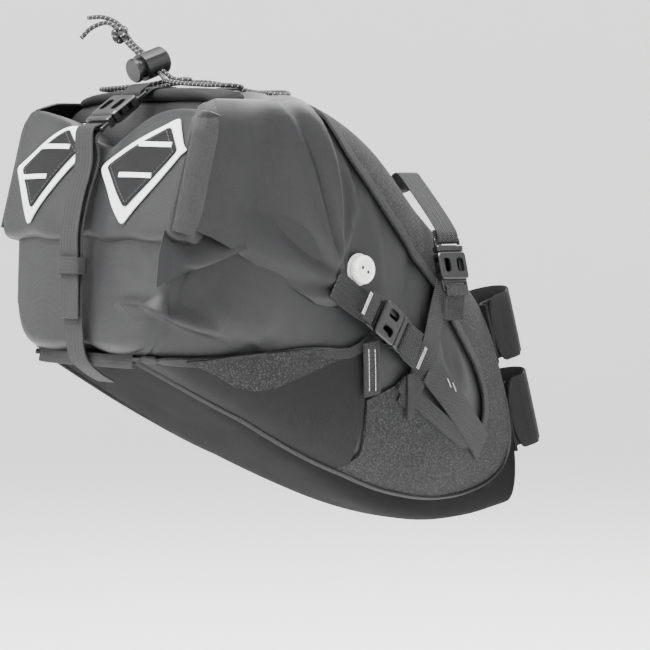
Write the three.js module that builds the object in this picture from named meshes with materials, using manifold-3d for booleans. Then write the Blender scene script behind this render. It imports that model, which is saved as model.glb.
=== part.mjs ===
// A bikepacking saddle bag: a tapered roll-top dry bag held in a harness that straps to the
// saddle rails and the seatpost. Millimetres. +X points to the front of the bicycle, +Y to its
// left side and +Z up. The origin is the middle of the pad's face that leans on the seatpost.
import * as THREE from "three";
import { mergeVertices } from "three/addons/utils/BufferGeometryUtils.js";
import Module from "manifold-3d";

const wasm = await Module();
wasm.setup();

// ---------------------------------------------------------------- driving dimensions
const SEAT_ANGLE = THREE.MathUtils.degToRad(15.4); // the seatpost leans back from the vertical
const SEATPOST_RADIUS = 15.8; // the largest seatpost that the straps go round
const RAIL_Y = 22; // saddle rail, from the middle plane
const RAIL_Z = 132;
const WEBBING = 20; // width of the adjusting straps
const WEBBING_THICK = 1.4;
const FABRIC = 2.2; // a harness panel with its lining
const GAP = 0.35; // air between neighbouring pieces
const PAD_THICK = 6;
const PAD_HALF_WIDTH = 12.5;
const UNDERCUT = 0.22; // the bag is narrower at its keel
const ROLL_TILT = THREE.MathUtils.degToRad(15); // the roll leans forward at its top
const ROLL_DEPTH = 28;
const ROLL_HEIGHT = 74;
const ROLL_HALF_WIDTH = 101;
const PLUG_TRAVEL = 6.5; // how far a buckle's plug slides to come free
const CORD = 3;

// Sections of the packed bag from its rear to its nose: the keel point's x and z, the crown
// point's x and z, the half width between them and the section's squareness (2 is an ellipse).
const SECTIONS = [
  [-329, 28, -309, 169, 91, 5.4],
  [-300, 12, -280, 182, 95, 5.6],
  [-240, -22, -232, 188, 94, 5],
  [-180, -55, -185, 180, 90, 4.2],
  [-120, -82, -140, 160, 80, 3.6],
  [-70, -94, -97, 124, 66, 3.2],
  [-25, -94, -62, 97, 48, 3],
  [14.9, -88, -25.3, 58, 29, 2.8],
];
const LAST = SECTIONS.length - 1;

// ---------------------------------------------------------------- outline of the packed bag
/** One column of the sections as a smooth curve, at a place u from 0 at the rear to LAST. */
function column(k, u) {
  const i = Math.min(Math.max(Math.floor(u), 0), LAST - 1);
  const t = u - i;
  const at = (j) => SECTIONS[Math.min(Math.max(j, 0), LAST)][k];
  const m0 = (at(i + 1) - at(i - 1)) / (i > 0 ? 2 : 1);
  const m1 = (at(i + 2) - at(i)) / (i + 2 <= LAST ? 2 : 1);
  return (
    at(i) * (2 * t ** 3 - 3 * t ** 2 + 1) + m0 * (t ** 3 - 2 * t ** 2 + t) +
    at(i + 1) * (3 * t ** 2 - 2 * t ** 3) + m1 * (t ** 3 - t ** 2)
  );
}

/** The section at u: its middle, its upward direction, half height, half width, squareness. */
function sectionAt(u) {
  const keel = new THREE.Vector2(column(0, u), column(1, u));
  const crown = new THREE.Vector2(column(2, u), column(3, u));
  const up = crown.clone().sub(keel);
  const half = up.length() / 2;
  up.normalize();
  return {
    middle: keel.clone().add(crown).multiplyScalar(0.5),
    up,
    half,
    width: column(4, u),
    power: column(5, u),
  };
}

const undercut = (v) => 1 - UNDERCUT * Math.max(0, -v) ** 2;

/** A point on the skin of the packed bag, out millimetres outside it. */
function skin(u, angle, out) {
  const { middle, up, half, width, power } = sectionAt(u);
  const round = (v) => Math.sign(v) * Math.abs(v) ** (2 / power);
  const v = round(Math.sin(angle));
  const h = (half + out) * v;
  const y = (width + out) * round(Math.cos(angle)) * undercut(v);
  return new THREE.Vector3(middle.x + up.x * h, y, middle.y + up.y * h);
}

/** How far the skin stands from the middle plane at a place in side view. */
function skinY(x, z, out) {
  let [low, high] = [0, LAST];
  for (let i = 0; i < 24; i += 1) {
    const u = (low + high) / 2;
    const { middle, up } = sectionAt(u);
    const ahead = (x - middle.x) * up.y - (z - middle.y) * up.x;
    if (ahead > 0) low = u;
    else high = u;
  }
  const { middle, up, half, width, power } = sectionAt(low);
  const v = ((x - middle.x) * up.x + (z - middle.y) * up.y) / (half + out);
  const inside = Math.max(0, 1 - Math.abs(v) ** power) ** (1 / power);
  return (width + out) * inside * undercut(v);
}

/** The outward direction of the skin at a place in side view, on one side of the bag. */
function skinNormal(x, z, side) {
  const slopeX = (skinY(x + 2, z, 0) - skinY(x - 2, z, 0)) / 4;
  const slopeZ = (skinY(x, z + 2, 0) - skinY(x, z - 2, 0)) / 4;
  return new THREE.Vector3(-slopeX, side, -slopeZ).normalize();
}

// ---------------------------------------------------------------- solids and geometry
function toSolid(geometry) {
  const bare = geometry.clone();
  bare.deleteAttribute("normal");
  bare.deleteAttribute("uv");
  const merged = mergeVertices(bare, 1e-4);
  const triVerts = new Uint32Array(merged.index.array);
  const vertProperties = merged.attributes.position.array;
  const made = new wasm.Manifold(new wasm.Mesh({ numProp: 3, vertProperties, triVerts }));
  if (made.volume() > 0) return made;
  for (let i = 0; i < triVerts.length; i += 3) {
    [triVerts[i + 1], triVerts[i + 2]] = [triVerts[i + 2], triVerts[i + 1]];
  }
  return new wasm.Manifold(new wasm.Mesh({ numProp: 3, vertProperties, triVerts }));
}

function toGeometry(solid) {
  const { vertProperties, triVerts } = solid.getMesh();
  return new THREE.BufferGeometry()
    .setAttribute("position", new THREE.BufferAttribute(vertProperties, 3))
    .setIndex(new THREE.BufferAttribute(triVerts, 1));
}

/** A closed solid through rings of points, with a fan over each end. */
function loft(rings) {
  const n = rings[0].length;
  const points = rings.flat();
  const index = [];
  for (let i = 0; i < rings.length - 1; i += 1) {
    for (let j = 0; j < n; j += 1) {
      const [a, b] = [i * n + j, i * n + ((j + 1) % n)];
      index.push(a, b, b + n, a, b + n, a + n);
    }
  }
  [0, rings.length - 1].forEach((i) => {
    const middle = points.push(
      rings[i].reduce((sum, p) => sum.add(p), new THREE.Vector3()).divideScalar(n),
    ) - 1;
    for (let j = 0; j < n; j += 1) {
      const pair = [i * n + j, i * n + ((j + 1) % n)];
      if (i === 0) pair.reverse();
      index.push(middle, ...pair);
    }
  });
  return toSolid(new THREE.BufferGeometry().setFromPoints(points).setIndex(index));
}

const RING_POINTS = 28;
const STATIONS = [0, 0.5, 1, 2, 3, 4, 5, 6, 6.5, LAST];

/** The packed bag's whole form, out millimetres larger all round. */
function bagForm(out) {
  return loft(STATIONS.map((u, i) => {
    const { up } = sectionAt(u);
    const end = i === 0 ? -out : i === STATIONS.length - 1 ? out : 0;
    return Array.from({ length: RING_POINTS }, (_, j) => {
      const p = skin(u, (2 * Math.PI * (j + 0.5)) / RING_POINTS, out);
      return p.add(new THREE.Vector3(up.y * end, 0, -up.x * end));
    });
  }));
}

/** The bag's skin as a sheet between two distances from it. */
function layer(from, to) {
  return bagForm(to).subtract(bagForm(from));
}

/** A prism with a side-view outline of [x, z] corners, between two values of y. */
function sidePrism(corners, y0, y1) {
  const shape = new THREE.Shape(corners.map(([x, z]) => new THREE.Vector2(x, z)));
  const prism = new THREE.ExtrudeGeometry(shape, { depth: y1 - y0, bevelEnabled: false });
  prism.rotateX(Math.PI / 2).translate(0, y1, 0);
  return toSolid(prism);
}

/** A prism with a plan-view outline of [x, y] corners, between two values of z. */
function planPrism(corners, z0, z1) {
  const shape = new THREE.Shape(corners.map(([x, y]) => new THREE.Vector2(x, y)));
  const prism = new THREE.ExtrudeGeometry(shape, { depth: z1 - z0, bevelEnabled: false });
  return toSolid(prism.translate(0, 0, z0));
}

/** A strip in side view: a prism round the line from a to b. */
function strip(a, b, width, y0, y1) {
  const along = new THREE.Vector2(b[0] - a[0], b[1] - a[1]).normalize();
  const side = new THREE.Vector2(-along.y, along.x).multiplyScalar(width / 2);
  return sidePrism([
    [a[0] + side.x, a[1] + side.y], [a[0] - side.x, a[1] - side.y],
    [b[0] - side.x, b[1] - side.y], [b[0] + side.x, b[1] + side.y],
  ], y0, y1);
}

const FAR = 130; // beyond the widest piece
/** side -1 is the right half, which is -Y, and +1 the left half. */
const half = (side) => (side < 0 ? [-FAR, -1] : [1, FAR]);

function box(x0, x1, y0, y1, z0, z1) {
  const made = new THREE.BoxGeometry(x1 - x0, y1 - y0, z1 - z0);
  return made.translate((x0 + x1) / 2, (y0 + y1) / 2, (z0 + z1) / 2);
}

/** A flat ribbon that follows path, [x, y] points, with its width along local z. */
function ribbon(path, thick, width) {
  const line = path.map(([x, y]) => new THREE.Vector2(x, y));
  const edge = (sign) => line.map((p, i) => {
    const before = line[Math.max(i - 1, 0)];
    const after = line[Math.min(i + 1, line.length - 1)];
    const t = after.clone().sub(before).normalize();
    return p.clone().add(new THREE.Vector2(-t.y, t.x).multiplyScalar((sign * thick) / 2));
  });
  const shape = new THREE.Shape([...edge(1), ...edge(-1).reverse()]);
  const made = new THREE.ExtrudeGeometry(shape, { depth: width, bevelEnabled: false });
  return made.translate(0, 0, -width / 2);
}

/** Points of an arc about [cx, cy] from angle a to angle b in degrees. */
function arc(cx, cy, r, a, b, steps = 8) {
  return Array.from({ length: steps + 1 }, (_, i) => {
    const t = THREE.MathUtils.degToRad(a + ((b - a) * i) / steps);
    return [cx + r * Math.cos(t), cy + r * Math.sin(t)];
  });
}

/** The matrix that lays local x, y and z along u, v and their cross product at a place. */
function frameAt(place, u, v) {
  const w = new THREE.Vector3().crossVectors(u, v);
  return new THREE.Matrix4().makeBasis(u, v, w).setPosition(place);
}

const vec = (x, y, z) => new THREE.Vector3(x, y, z);

// ---------------------------------------------------------------- materials and scene graph
const finish = (color, roughness, metalness = 0) =>
  new THREE.MeshStandardMaterial({ color, roughness, metalness });
const coated = finish(0x333436, 0.5);
const keelFabric = finish(0x26272a, 0.6);
const packcloth = finish(0x3a3a3c, 0.95);
const webbing = finish(0x232324, 0.9);
const moulded = finish(0x1a1a1b, 0.35);
const reflective = finish(0xd9dadb, 0.45);
const padding = finish(0x2b2b2c, 0.95);
const whitePlastic = finish(0xeeeeec, 0.35);
const cordage = finish(0x1c1c1d, 0.85);

const bag = new THREE.Group();

function add(name, shape, material, matrix) {
  const geometry = shape.isBufferGeometry ? shape : toGeometry(shape);
  const mesh = new THREE.Mesh(geometry, material);
  mesh.name = name;
  if (matrix) mesh.applyMatrix4(matrix);
  bag.add(mesh);
  return mesh;
}

/** A piece made in local axes, as a solid in its place. */
const placed = (geometry, matrix) => toSolid(geometry.clone().applyMatrix4(matrix));

const SIDES = [[-1, "right"], [1, "left"]];

// ---------------------------------------------------------------- dry bag and its roll-top
const rollUp = vec(Math.sin(ROLL_TILT), 0, Math.cos(ROLL_TILT));
const rollIn = vec(Math.cos(ROLL_TILT), 0, -Math.sin(ROLL_TILT));
// The roll lies in a step at the bag's rear, with local x towards the bag and z up the roll.
const rollFrame = new THREE.Matrix4()
  .makeBasis(rollIn, vec(0, 1, 0), rollUp)
  .setPosition(-298.5, 0, 92);

// The bag is packed full and closed, so it is solid.
const step = placed(box(-90, 0, -FAR, FAR, 0, 150), rollFrame);
add("dry_bag_body", bagForm(0).subtract(step), coated);

/** The closed mouth, rolled up flat: one sheet wound on itself. */
function rollTop() {
  const turns = 2;
  const sheet = 2.6;
  const pitch = 4.2;
  const perTurn = 20;
  const round = (v) => Math.sign(v) * Math.abs(v) ** 0.55;
  const point = (i, inset) => {
    const a = (2 * Math.PI * i) / perTurn - Math.PI / 2;
    const less = (pitch * i) / perTurn + inset;
    return new THREE.Vector2(
      (ROLL_DEPTH / 2 - less) * round(Math.cos(a)),
      (ROLL_HEIGHT / 2 - less) * round(Math.sin(a)),
    );
  };
  const steps = Array.from({ length: turns * perTurn + 1 }, (_, i) => i);
  const outer = steps.map((i) => point(i, 0));
  const inner = steps.map((i) => point(i, sheet)).reverse();
  const width = 2 * ROLL_HALF_WIDTH;
  const shape = new THREE.Shape([...outer, ...inner]);
  return new THREE.ExtrudeGeometry(shape, { depth: width, bevelEnabled: false })
    .translate(0, 0, -width / 2)
    .rotateX(Math.PI / 2)
    .translate(-ROLL_DEPTH / 2 - 1, 0, ROLL_HEIGHT / 2 + 1);
}
add("roll_top", rollTop(), coated, rollFrame);

// The two ends of the roll are drawn forward along the bag's sides to the side buckles.
const WING = [
  [-289, 104], [-278, 150], [-281, 172], [-262, 173], [-212, 170],
  [-196, 118], [-186, 70], [-206, 52], [-262, 78],
];
SIDES.forEach(([side, word]) => {
  const cut = sidePrism(WING, ...half(side));
  add(`roll_wing_${word}`, layer(0.6, 2.2).intersect(cut), coated);
});

// ---------------------------------------------------------------- lash patches on the roll
const ROLL_FACE = -ROLL_DEPTH - 1 - GAP;

/** A flat quadrilateral on the roll's rear face, between two distances from that face. */
function patch(corners, from, to, side) {
  const shape = new THREE.Shape(corners.map(([y, z]) => new THREE.Vector2(y * side, z)));
  return new THREE.ExtrudeGeometry(shape, { depth: to - from, bevelEnabled: false })
    .applyMatrix4(new THREE.Matrix4().makeBasis(vec(0, 1, 0), vec(0, 0, 1), vec(1, 0, 0)))
    .translate(ROLL_FACE - to, 0, 0);
}

// Both patches lean the same way. The corners are given towards -Y, then for the patch on +Y.
const BORDERS = [
  [[5, 50], [78, 72.5], [97, 60], [42, 13]],
  [[13, 60], [34, 72.5], [95, 50], [68, 13]],
];
const INNERS = [
  [[18, 50], [74, 67.5], [88, 57.5], [46, 23]],
  [[24, 57], [38, 67], [84, 49], [65, 23]],
];
const SLOTS = [
  [[46, 78, 58.5, 60], [34, 66, 41.5, 43]],
  [[34, 64, 58.5, 60], [46, 76, 41.5, 43]],
];
SIDES.forEach(([side, word], k) => {
  add(`lash_border_${word}`, patch(BORDERS[k], 0, 1.1, side), reflective, rollFrame);
  const slots = SLOTS[k].map(([y0, y1, z0, z1]) =>
    toSolid(patch([[y0, z0], [y1, z0], [y1, z1], [y0, z1]], 0, 6, side)));
  const plain = toSolid(patch(INNERS[k], 1.1 + GAP, 3, side));
  const made = slots.reduce((rest, cut) => rest.subtract(cut), plain);
  add(`lash_patch_${word}`, made, webbing, rollFrame);
});

// ---------------------------------------------------------------- harness panels
const CRADLE_OUT = GAP + FABRIC;
const cradle = layer(GAP, CRADLE_OUT);
const BELOW = [[-340, 70], [-180, 10], [-60, -45], [40, -72], [40, -130], [-340, -130]];
const below = sidePrism(BELOW, -FAR, FAR);
const FLOOR_EDGE = [
  [-340, 50], [-313, 51], [-246, 60], [-162, 55], [-107, 48], [-66, 42], [-8, 30], [40, 24],
];

/** The strip along the keel that the floor covers, with its edges moved out by grow. */
function floorStrip(grow) {
  const left = FLOOR_EDGE.map(([x, y]) => [x, y + grow]);
  const right = FLOOR_EDGE.map(([x, y]) => [x, -y - grow]).reverse();
  return planPrism([...left, ...right], -130, 90).intersect(below);
}

const FLOOR = [[-313, -130], [-313, 60], [60, 60], [60, -130]];
add("harness_floor", cradle.intersect(floorStrip(0)).intersect(sidePrism(FLOOR, -FAR, FAR)), keelFabric);

const SIDE_PANEL = [
  [-313, -130], [-313, 23], [-278, 22], [-236, 24], [-203, 25], [-183, 22],
  [-163, 33], [-142, 35], [-137, 1.6], [-163, -7.6], [-157.9, -45], [-157.9, -130],
];
SIDES.forEach(([side, word]) => {
  const cut = sidePrism(SIDE_PANEL, ...half(side)).subtract(floorStrip(GAP));
  add(`harness_side_${word}`, cradle.intersect(cut), coated);
});

// The nose panel holds the bag's front, with a window in each side, and runs back on top.
const NOSE_PANEL = [
  [-157, -130], [60, -130], [60, 80], [-60, 160], [-120, 210], [-190, 210], [-192, 174],
  [-178, 152], [-138, 106], [-90, 62], [-70, 37], [-45, 13], [-36, -10], [-36, -30], [-50, -42],
  [-66, -40], [-116, -13], [-136, 1], [-162, -8.2], [-157, -44],
];
const noseCut = sidePrism(NOSE_PANEL, -FAR, FAR).subtract(floorStrip(GAP));
add("harness_nose", cradle.intersect(noseCut), packcloth);

// A padded bar lies across the bag's top near its rear.
const bar = toSolid(box(-281, -251, -82, 82, 177, 220));
add("top_bar", layer(0.6, 6.4).intersect(bar), padding);

// ---------------------------------------------------------------- webbing round the windows
const OVER = CRADLE_OUT + GAP; // just outside the harness panels
const webLayer = layer(OVER, OVER + WEBBING_THICK);
SIDES.forEach(([side, word]) => {
  const across = half(side);
  const edge = strip([-84, 70], [-128, -14], 17, ...across);
  add(`window_strap_${word}`, webLayer.intersect(edge), webbing);
  const low = strip([-104, 8], [-34, -48], 17, ...across);
  add(`window_brace_${word}`, webLayer.intersect(low), webbing);
});

// ---------------------------------------------------------------- side-release buckles
const SOCKET_BAR = -6.3; // where webbing turns round the socket's bar
const PLUG_BAR = 31.9; // and round the plug's
const BAR_TURN = 2.2; // radius of that turn
const WINDOW_END = 18.2; // the catches bear on this edge of the socket's windows

function roundedRect(x0, x1, y0, y1, r) {
  const shape = new THREE.Shape();
  shape.moveTo(x0 + r, y0).lineTo(x1 - r, y0).quadraticCurveTo(x1, y0, x1, y0 + r);
  shape.lineTo(x1, y1 - r).quadraticCurveTo(x1, y1, x1 - r, y1);
  shape.lineTo(x0 + r, y1).quadraticCurveTo(x0, y1, x0, y1 - r);
  shape.lineTo(x0, y0 + r).quadraticCurveTo(x0, y0, x0 + r, y0);
  return shape;
}

/** A moulded plate with softened edges, half thick each way from z 0. */
function plate(shape, halfThick, bevel) {
  const settings = {
    depth: 2 * (halfThick - bevel),
    bevelThickness: bevel,
    bevelSize: bevel,
    bevelOffset: -bevel,
    bevelSegments: 1,
    curveSegments: 2,
  };
  const made = new THREE.ExtrudeGeometry(shape, settings);
  return toSolid(made.translate(0, 0, bevel - halfThick));
}

/** The socket: a flat housing, open at its mouth, with a window in each edge for the catches. */
function socket() {
  const body = plate(roundedRect(0, 22, -13.4, 13.4, 3), 4.2, 1);
  const frame = plate(roundedRect(-8.6, 3, -12.4, 12.4, 2), 1.1, 0.3);
  const slot = toSolid(box(-6.2, -2.2, -10.6, 10.6, -6, 6));
  const hollow = toSolid(box(2, 30, -11, 11, -2.3, 2.3));
  const windows = toSolid(box(6, WINDOW_END, -20, 20, -2.3, 2.3));
  const eye = (y0, y1) => plate(roundedRect(5.6, 17, y0, y1, 3), 7, 0.4);
  const open = body.add(frame).subtract(slot).subtract(hollow).subtract(windows);
  return open.subtract(eye(3.1, 9.8)).subtract(eye(-9.8, -3.1));
}

/** The plug: a flange with the webbing bar, and the guide that runs into the socket. */
function plug() {
  const flange = plate(roundedRect(22.4, 27.4, -12.6, 12.6, 1.2), 3.6, 0.8);
  const frame = plate(roundedRect(25, 34.2, -12.4, 12.4, 2), 1.1, 0.3);
  const slot = toSolid(box(27.8, 31.8, -10.6, 10.6, -6, 6));
  const guide = toSolid(box(8, 23.5, -1.5, 1.5, -1.6, 1.6));
  return flange.add(frame).subtract(slot).add(guide);
}

/** One sprung prong with its catch, on the +Y side. It pivots at [24.5, 7.9]. */
function prong() {
  const shape = new THREE.Shape();
  shape.moveTo(21.8, 6.7).lineTo(21.8, 9.1).lineTo(15.4, 9.6).lineTo(14.5, 12.2);
  shape.lineTo(9.6, 12.2).quadraticCurveTo(6.2, 11.2, 5.2, 8.2).lineTo(6.6, 6.9);
  const made = new THREE.ExtrudeGeometry(shape, { depth: 3.6, bevelEnabled: false, curveSegments: 3 });
  return toSolid(made.translate(0, 0, -1.8));
}

const buckleParts = { socket: socket(), plug: plug(), prong: prong() };

/** Adds a buckle with its middle at a place, its plug towards along and its face outward. */
function addBuckle(name, middle, along, outward, scale = 1) {
  const across = new THREE.Vector3().crossVectors(outward, along);
  const place = middle.clone().addScaledVector(along, -12 * scale);
  const matrix = frameAt(place, along, across).scale(vec(scale, scale, scale));
  const turned = matrix.clone().multiply(new THREE.Matrix4().makeRotationX(Math.PI));
  add(`${name}_socket`, buckleParts.socket, moulded, matrix);
  add(`${name}_plug`, buckleParts.plug, moulded, matrix);
  add(`${name}_prong_a`, buckleParts.prong, moulded, matrix);
  add(`${name}_prong_b`, buckleParts.prong, moulded, turned);
  return matrix;
}

/** Axes of a strap that runs through a buckle: local y is outward and local z across it. */
function strapFrame(matrix) {
  return matrix.clone().multiply(new THREE.Matrix4().makeRotationX(Math.PI / 2));
}

/** In a strap's axes, the place at x that stands out millimetres off the bag's skin. */
function hug(matrix, x, out) {
  let [low, high] = [-40, 40];
  for (let i = 0; i < 24; i += 1) {
    const t = (low + high) / 2;
    const p = vec(x, 0, t).applyMatrix4(matrix);
    if (Math.abs(p.y) > skinY(p.x, p.z, out)) high = t;
    else low = t;
  }
  return [x, low];
}

/** A world place in a strap's axes. */
function inStrap(matrix, place) {
  const p = place.clone().applyMatrix4(matrix.clone().invert());
  return [p.x, p.z];
}

// Middles of the webbing in the layers that lie on the harness and on each other.
const FIRST = OVER + 2.6;
const SIDE_BUCKLE = [-156.5, 42]; // middle of a side buckle in side view
const SIDE_SCALE = 0.9;
SIDES.forEach(([side, word]) => {
  const [x, z] = SIDE_BUCKLE;
  const outward = skinNormal(x, z, side);
  const along = vec(0.85, 0, -0.52);
  along.addScaledVector(outward, -along.dot(outward)).normalize();
  const middle = vec(x, side * skinY(x, z, 0), z).addScaledVector(outward, 10);
  const matrix = addBuckle(`side_buckle_${word}`, middle, along, outward, SIDE_SCALE);
  const wing = [
    hug(matrix, -44, 4.2), hug(matrix, -30, 4.2), hug(matrix, -20, 4.6),
    ...arc(SOCKET_BAR, 0, BAR_TURN, -90, 90), [-15, 1.6],
  ];
  add(`roll_webbing_${word}`, ribbon(wing, WEBBING_THICK, WEBBING), webbing, strapFrame(matrix));
  const front = [
    [40, 3.4], [36, 2.4], ...arc(PLUG_BAR, 0, BAR_TURN, 90, 270), [36, -2.6],
    hug(matrix, 47, FIRST), hug(matrix, 58, FIRST), hug(matrix, 69, FIRST),
  ];
  add(`side_strap_${word}`, ribbon(front, WEBBING_THICK, WEBBING), webbing, strapFrame(matrix));
});

// ---------------------------------------------------------------- rear compression strap
const rearAlong = vec(-0.818, 0, -0.575).normalize();
const rearOut = vec(rearAlong.z, 0, -rearAlong.x);
const rear = addBuckle("rear_buckle", vec(-301, 0, 178.5), rearAlong, rearOut);
const rearTo = (x, z) => inStrap(rear, vec(x, 0, z));
const rearAnchor = [
  rearTo(-260, 193.2), rearTo(-270, 193.2), rearTo(-278, 192),
  ...arc(SOCKET_BAR, 0, BAR_TURN, -90, 90), [-14, 2],
];
add("rear_anchor_webbing", ribbon(rearAnchor, WEBBING_THICK, WEBBING), webbing, strapFrame(rear));
// The long strap rises from the harness, turns round the plug's bar and hangs back down.
const rearPath = [
  rearTo(-308, 5.5), rearTo(-318, 11), rearTo(-329, 21), rearTo(-331.6, 40), rearTo(-331, 80),
  rearTo(-331.4, 100), rearTo(-325, 124), rearTo(-318.6, 148), [38, -2.6],
  ...arc(PLUG_BAR, 0, BAR_TURN, 270, 90), [37, 3],
  rearTo(-324.6, 144), rearTo(-330.6, 122), rearTo(-335.4, 100), rearTo(-334.6, 80), rearTo(-334.8, 46),
];
add("rear_strap", ribbon(rearPath, WEBBING_THICK, WEBBING), webbing, strapFrame(rear));
const keeperOut = sidePrism([[-338.4, 86], [-338.2, 74], [-328.4, 74], [-328.6, 86]], -12.6, 12.6);
const keeperIn = sidePrism([[-337, 90], [-337, 70], [-329.6, 70], [-329.6, 90]], -11, 11);
add("strap_keeper", keeperOut.subtract(keeperIn), webbing);

// ---------------------------------------------------------------- saddle rail straps
const RAIL_BUCKLE = [-83, 74];
const RAIL_SCALE = 0.85;
SIDES.forEach(([side, word]) => {
  const [x, z] = RAIL_BUCKLE;
  const slope = skinNormal(x, z, side);
  const outward = vec(0, slope.y, slope.z).normalize();
  const along = vec(0, 0, 1);
  along.addScaledVector(outward, -along.dot(outward)).normalize();
  const middle = vec(x, side * skinY(x, z, 0), z).addScaledVector(outward, 12.8);
  const matrix = addBuckle(`rail_buckle_${word}`, middle, along, outward, RAIL_SCALE);
  const anchor = [
    hug(matrix, -30, FIRST + 4.4), hug(matrix, -22, FIRST + 4.4), [-14, -3.2],
    ...arc(SOCKET_BAR, 0, BAR_TURN, -90, 90), [-13, 2],
  ];
  add(`rail_anchor_${word}`, ribbon(anchor, WEBBING_THICK, WEBBING), webbing, strapFrame(matrix));
  const [rx, rt] = inStrap(matrix, vec(x, side * RAIL_Y, RAIL_Z));
  const spine = vec(x, side * 9, RAIL_Z - 6.6);
  const spineEnd = vec(x, side * 1.6, RAIL_Z - 6);
  const loop = [
    [41, -2.4], ...arc(PLUG_BAR, 0, BAR_TURN, 270, 90), [37, 2.6],
    ...arc(rx, rt, 7.4, 62, -112, 10), inStrap(matrix, spine), inStrap(matrix, spineEnd),
  ];
  add(`rail_strap_${word}`, ribbon(loop, WEBBING_THICK, WEBBING), webbing, strapFrame(matrix));
});

// ---------------------------------------------------------------- seatpost pad and straps
const postFrame = new THREE.Matrix4().makeRotationY(-SEAT_ANGLE);
const pad = box(-PAD_THICK, 0, -PAD_HALF_WIDTH, PAD_HALF_WIDTH, -72, 60);
add("seatpost_pad", pad, padding, postFrame);
const POST_STRAP = 2.2;
[["upper", 31, 46], ["lower", -30, 50]].forEach(([word, height, width]) => {
  const matrix = postFrame.clone().multiply(new THREE.Matrix4().makeTranslation(0, 0, height));
  const reach = SEATPOST_RADIUS + 1.6;
  const long = [
    [-4.6, 28], [-4.6, 21.5], [-1.6, 18.2], [4, 16.6],
    ...arc(SEATPOST_RADIUS, 0, reach, 118, -58, 14),
    ...arc(SEATPOST_RADIUS, 0, reach + 3, -76, -100, 2), [1, -21],
  ];
  const short = [
    [-4.6, -28], [-4.6, -21.5], [-1.6, -18.2], [4, -16.6],
    ...arc(SEATPOST_RADIUS, 0, reach, -118, -84, 4),
  ];
  add(`post_strap_${word}`, ribbon(long, POST_STRAP, width), webbing, matrix);
  add(`post_tab_${word}`, ribbon(short, POST_STRAP, width - 4), webbing, matrix);
});

// ---------------------------------------------------------------- air valve
const VALVE = [-174, 76.5];
const valveOut = skinNormal(...VALVE, -1);
const valvePlace = vec(VALVE[0], -skinY(...VALVE, GAP), VALVE[1]);
const valveUp = vec(0, 0, 1);
valveUp.addScaledVector(valveOut, -valveUp.dot(valveOut)).normalize();
const valveFrame = frameAt(valvePlace, valveUp, new THREE.Vector3().crossVectors(valveOut, valveUp));
const profile = (points) => toSolid(
  new THREE.LatheGeometry(points.map(([r, z]) => new THREE.Vector2(r, z)), 24).rotateX(Math.PI / 2),
);
const valveBase = profile([[0, 0], [10.4, 0], [10.4, 0.8], [8.4, 1.4], [4, 1.4], [4, 3.4], [0, 3.4]]);
add("valve_base", valveBase, whitePlastic, valveFrame);

/** The knob: a cap over the base with a ribbed rim and two small holes through its top. */
function valveKnob() {
  const cap = profile([[0, 3.8], [4.4, 3.8], [4.4, 1.8], [8, 1.8], [8, 5.6], [7.2, 6.4], [0, 6.4]]);
  const holes = [-4, 4].map((y) => {
    const hole = new THREE.CylinderGeometry(0.9, 0.9, 8, 8).rotateX(Math.PI / 2);
    return toSolid(hole.translate(0.6, y * 0.55, 5));
  });
  const ribs = Array.from({ length: 12 }, (_, i) => {
    const notch = new THREE.CylinderGeometry(0.7, 0.7, 8, 6).rotateX(Math.PI / 2);
    const a = (2 * Math.PI * i) / 12;
    return toSolid(notch.translate(8.3 * Math.cos(a), 8.3 * Math.sin(a), 5));
  });
  return [...holes, ...ribs].reduce((rest, cut) => rest.subtract(cut), cap);
}
add("valve_knob", valveKnob(), whitePlastic, valveFrame);

// ---------------------------------------------------------------- shock cord and its lock
const lockPlace = vec(-267, 8, 209);
const cordRun = vec(-0.22, 0.78, 0.585).normalize(); // the way that the cord leaves the lock
const press = vec(-0.94, -0.017, -0.33); // the way that the lock's button faces
press.addScaledVector(cordRun, -press.dot(cordRun)).normalize();
const lockFrame = frameAt(lockPlace, cordRun, new THREE.Vector3().crossVectors(press, cordRun));
const LOCK_RADIUS = 9;
const LOCK_TRAVEL = 3.5;

/** An oval passage along local x, with its long way along the button's travel. */
function passage(z0, z1) {
  const shape = new THREE.Shape();
  shape.absarc(z1 - 2.2, 0, 2.2, -Math.PI / 2, Math.PI / 2).absarc(z0 + 2.2, 0, 2.2, Math.PI / 2, 1.5 * Math.PI);
  const cut = new THREE.ExtrudeGeometry(shape, { depth: 40, bevelEnabled: false, curveSegments: 5 });
  const turn = new THREE.Matrix4().makeBasis(vec(0, 0, 1), vec(0, 1, 0), vec(-1, 0, 0));
  return toSolid(cut.translate(0, 0, -20).applyMatrix4(turn));
}
const barrel = profile([
  [0, -10], [7.6, -10], [LOCK_RADIUS, -8.4], [LOCK_RADIUS, 9], [6.6, 9], [6.6, -7.9], [0, -7.9],
]);
add("cord_lock_barrel", barrel.subtract(passage(-3.8, 3.8)), moulded, lockFrame);
const button = profile([
  [0, -3.9 - 0.2], [6.2, -4.1], [6.2, 13], [7.8, 13], [8.2, 13.6], [8.2, 15], [7.4, 16], [0, 16],
]);
add("cord_lock_button", button.subtract(passage(-3.8, 3.8 + LOCK_TRAVEL)), moulded, lockFrame);

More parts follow.
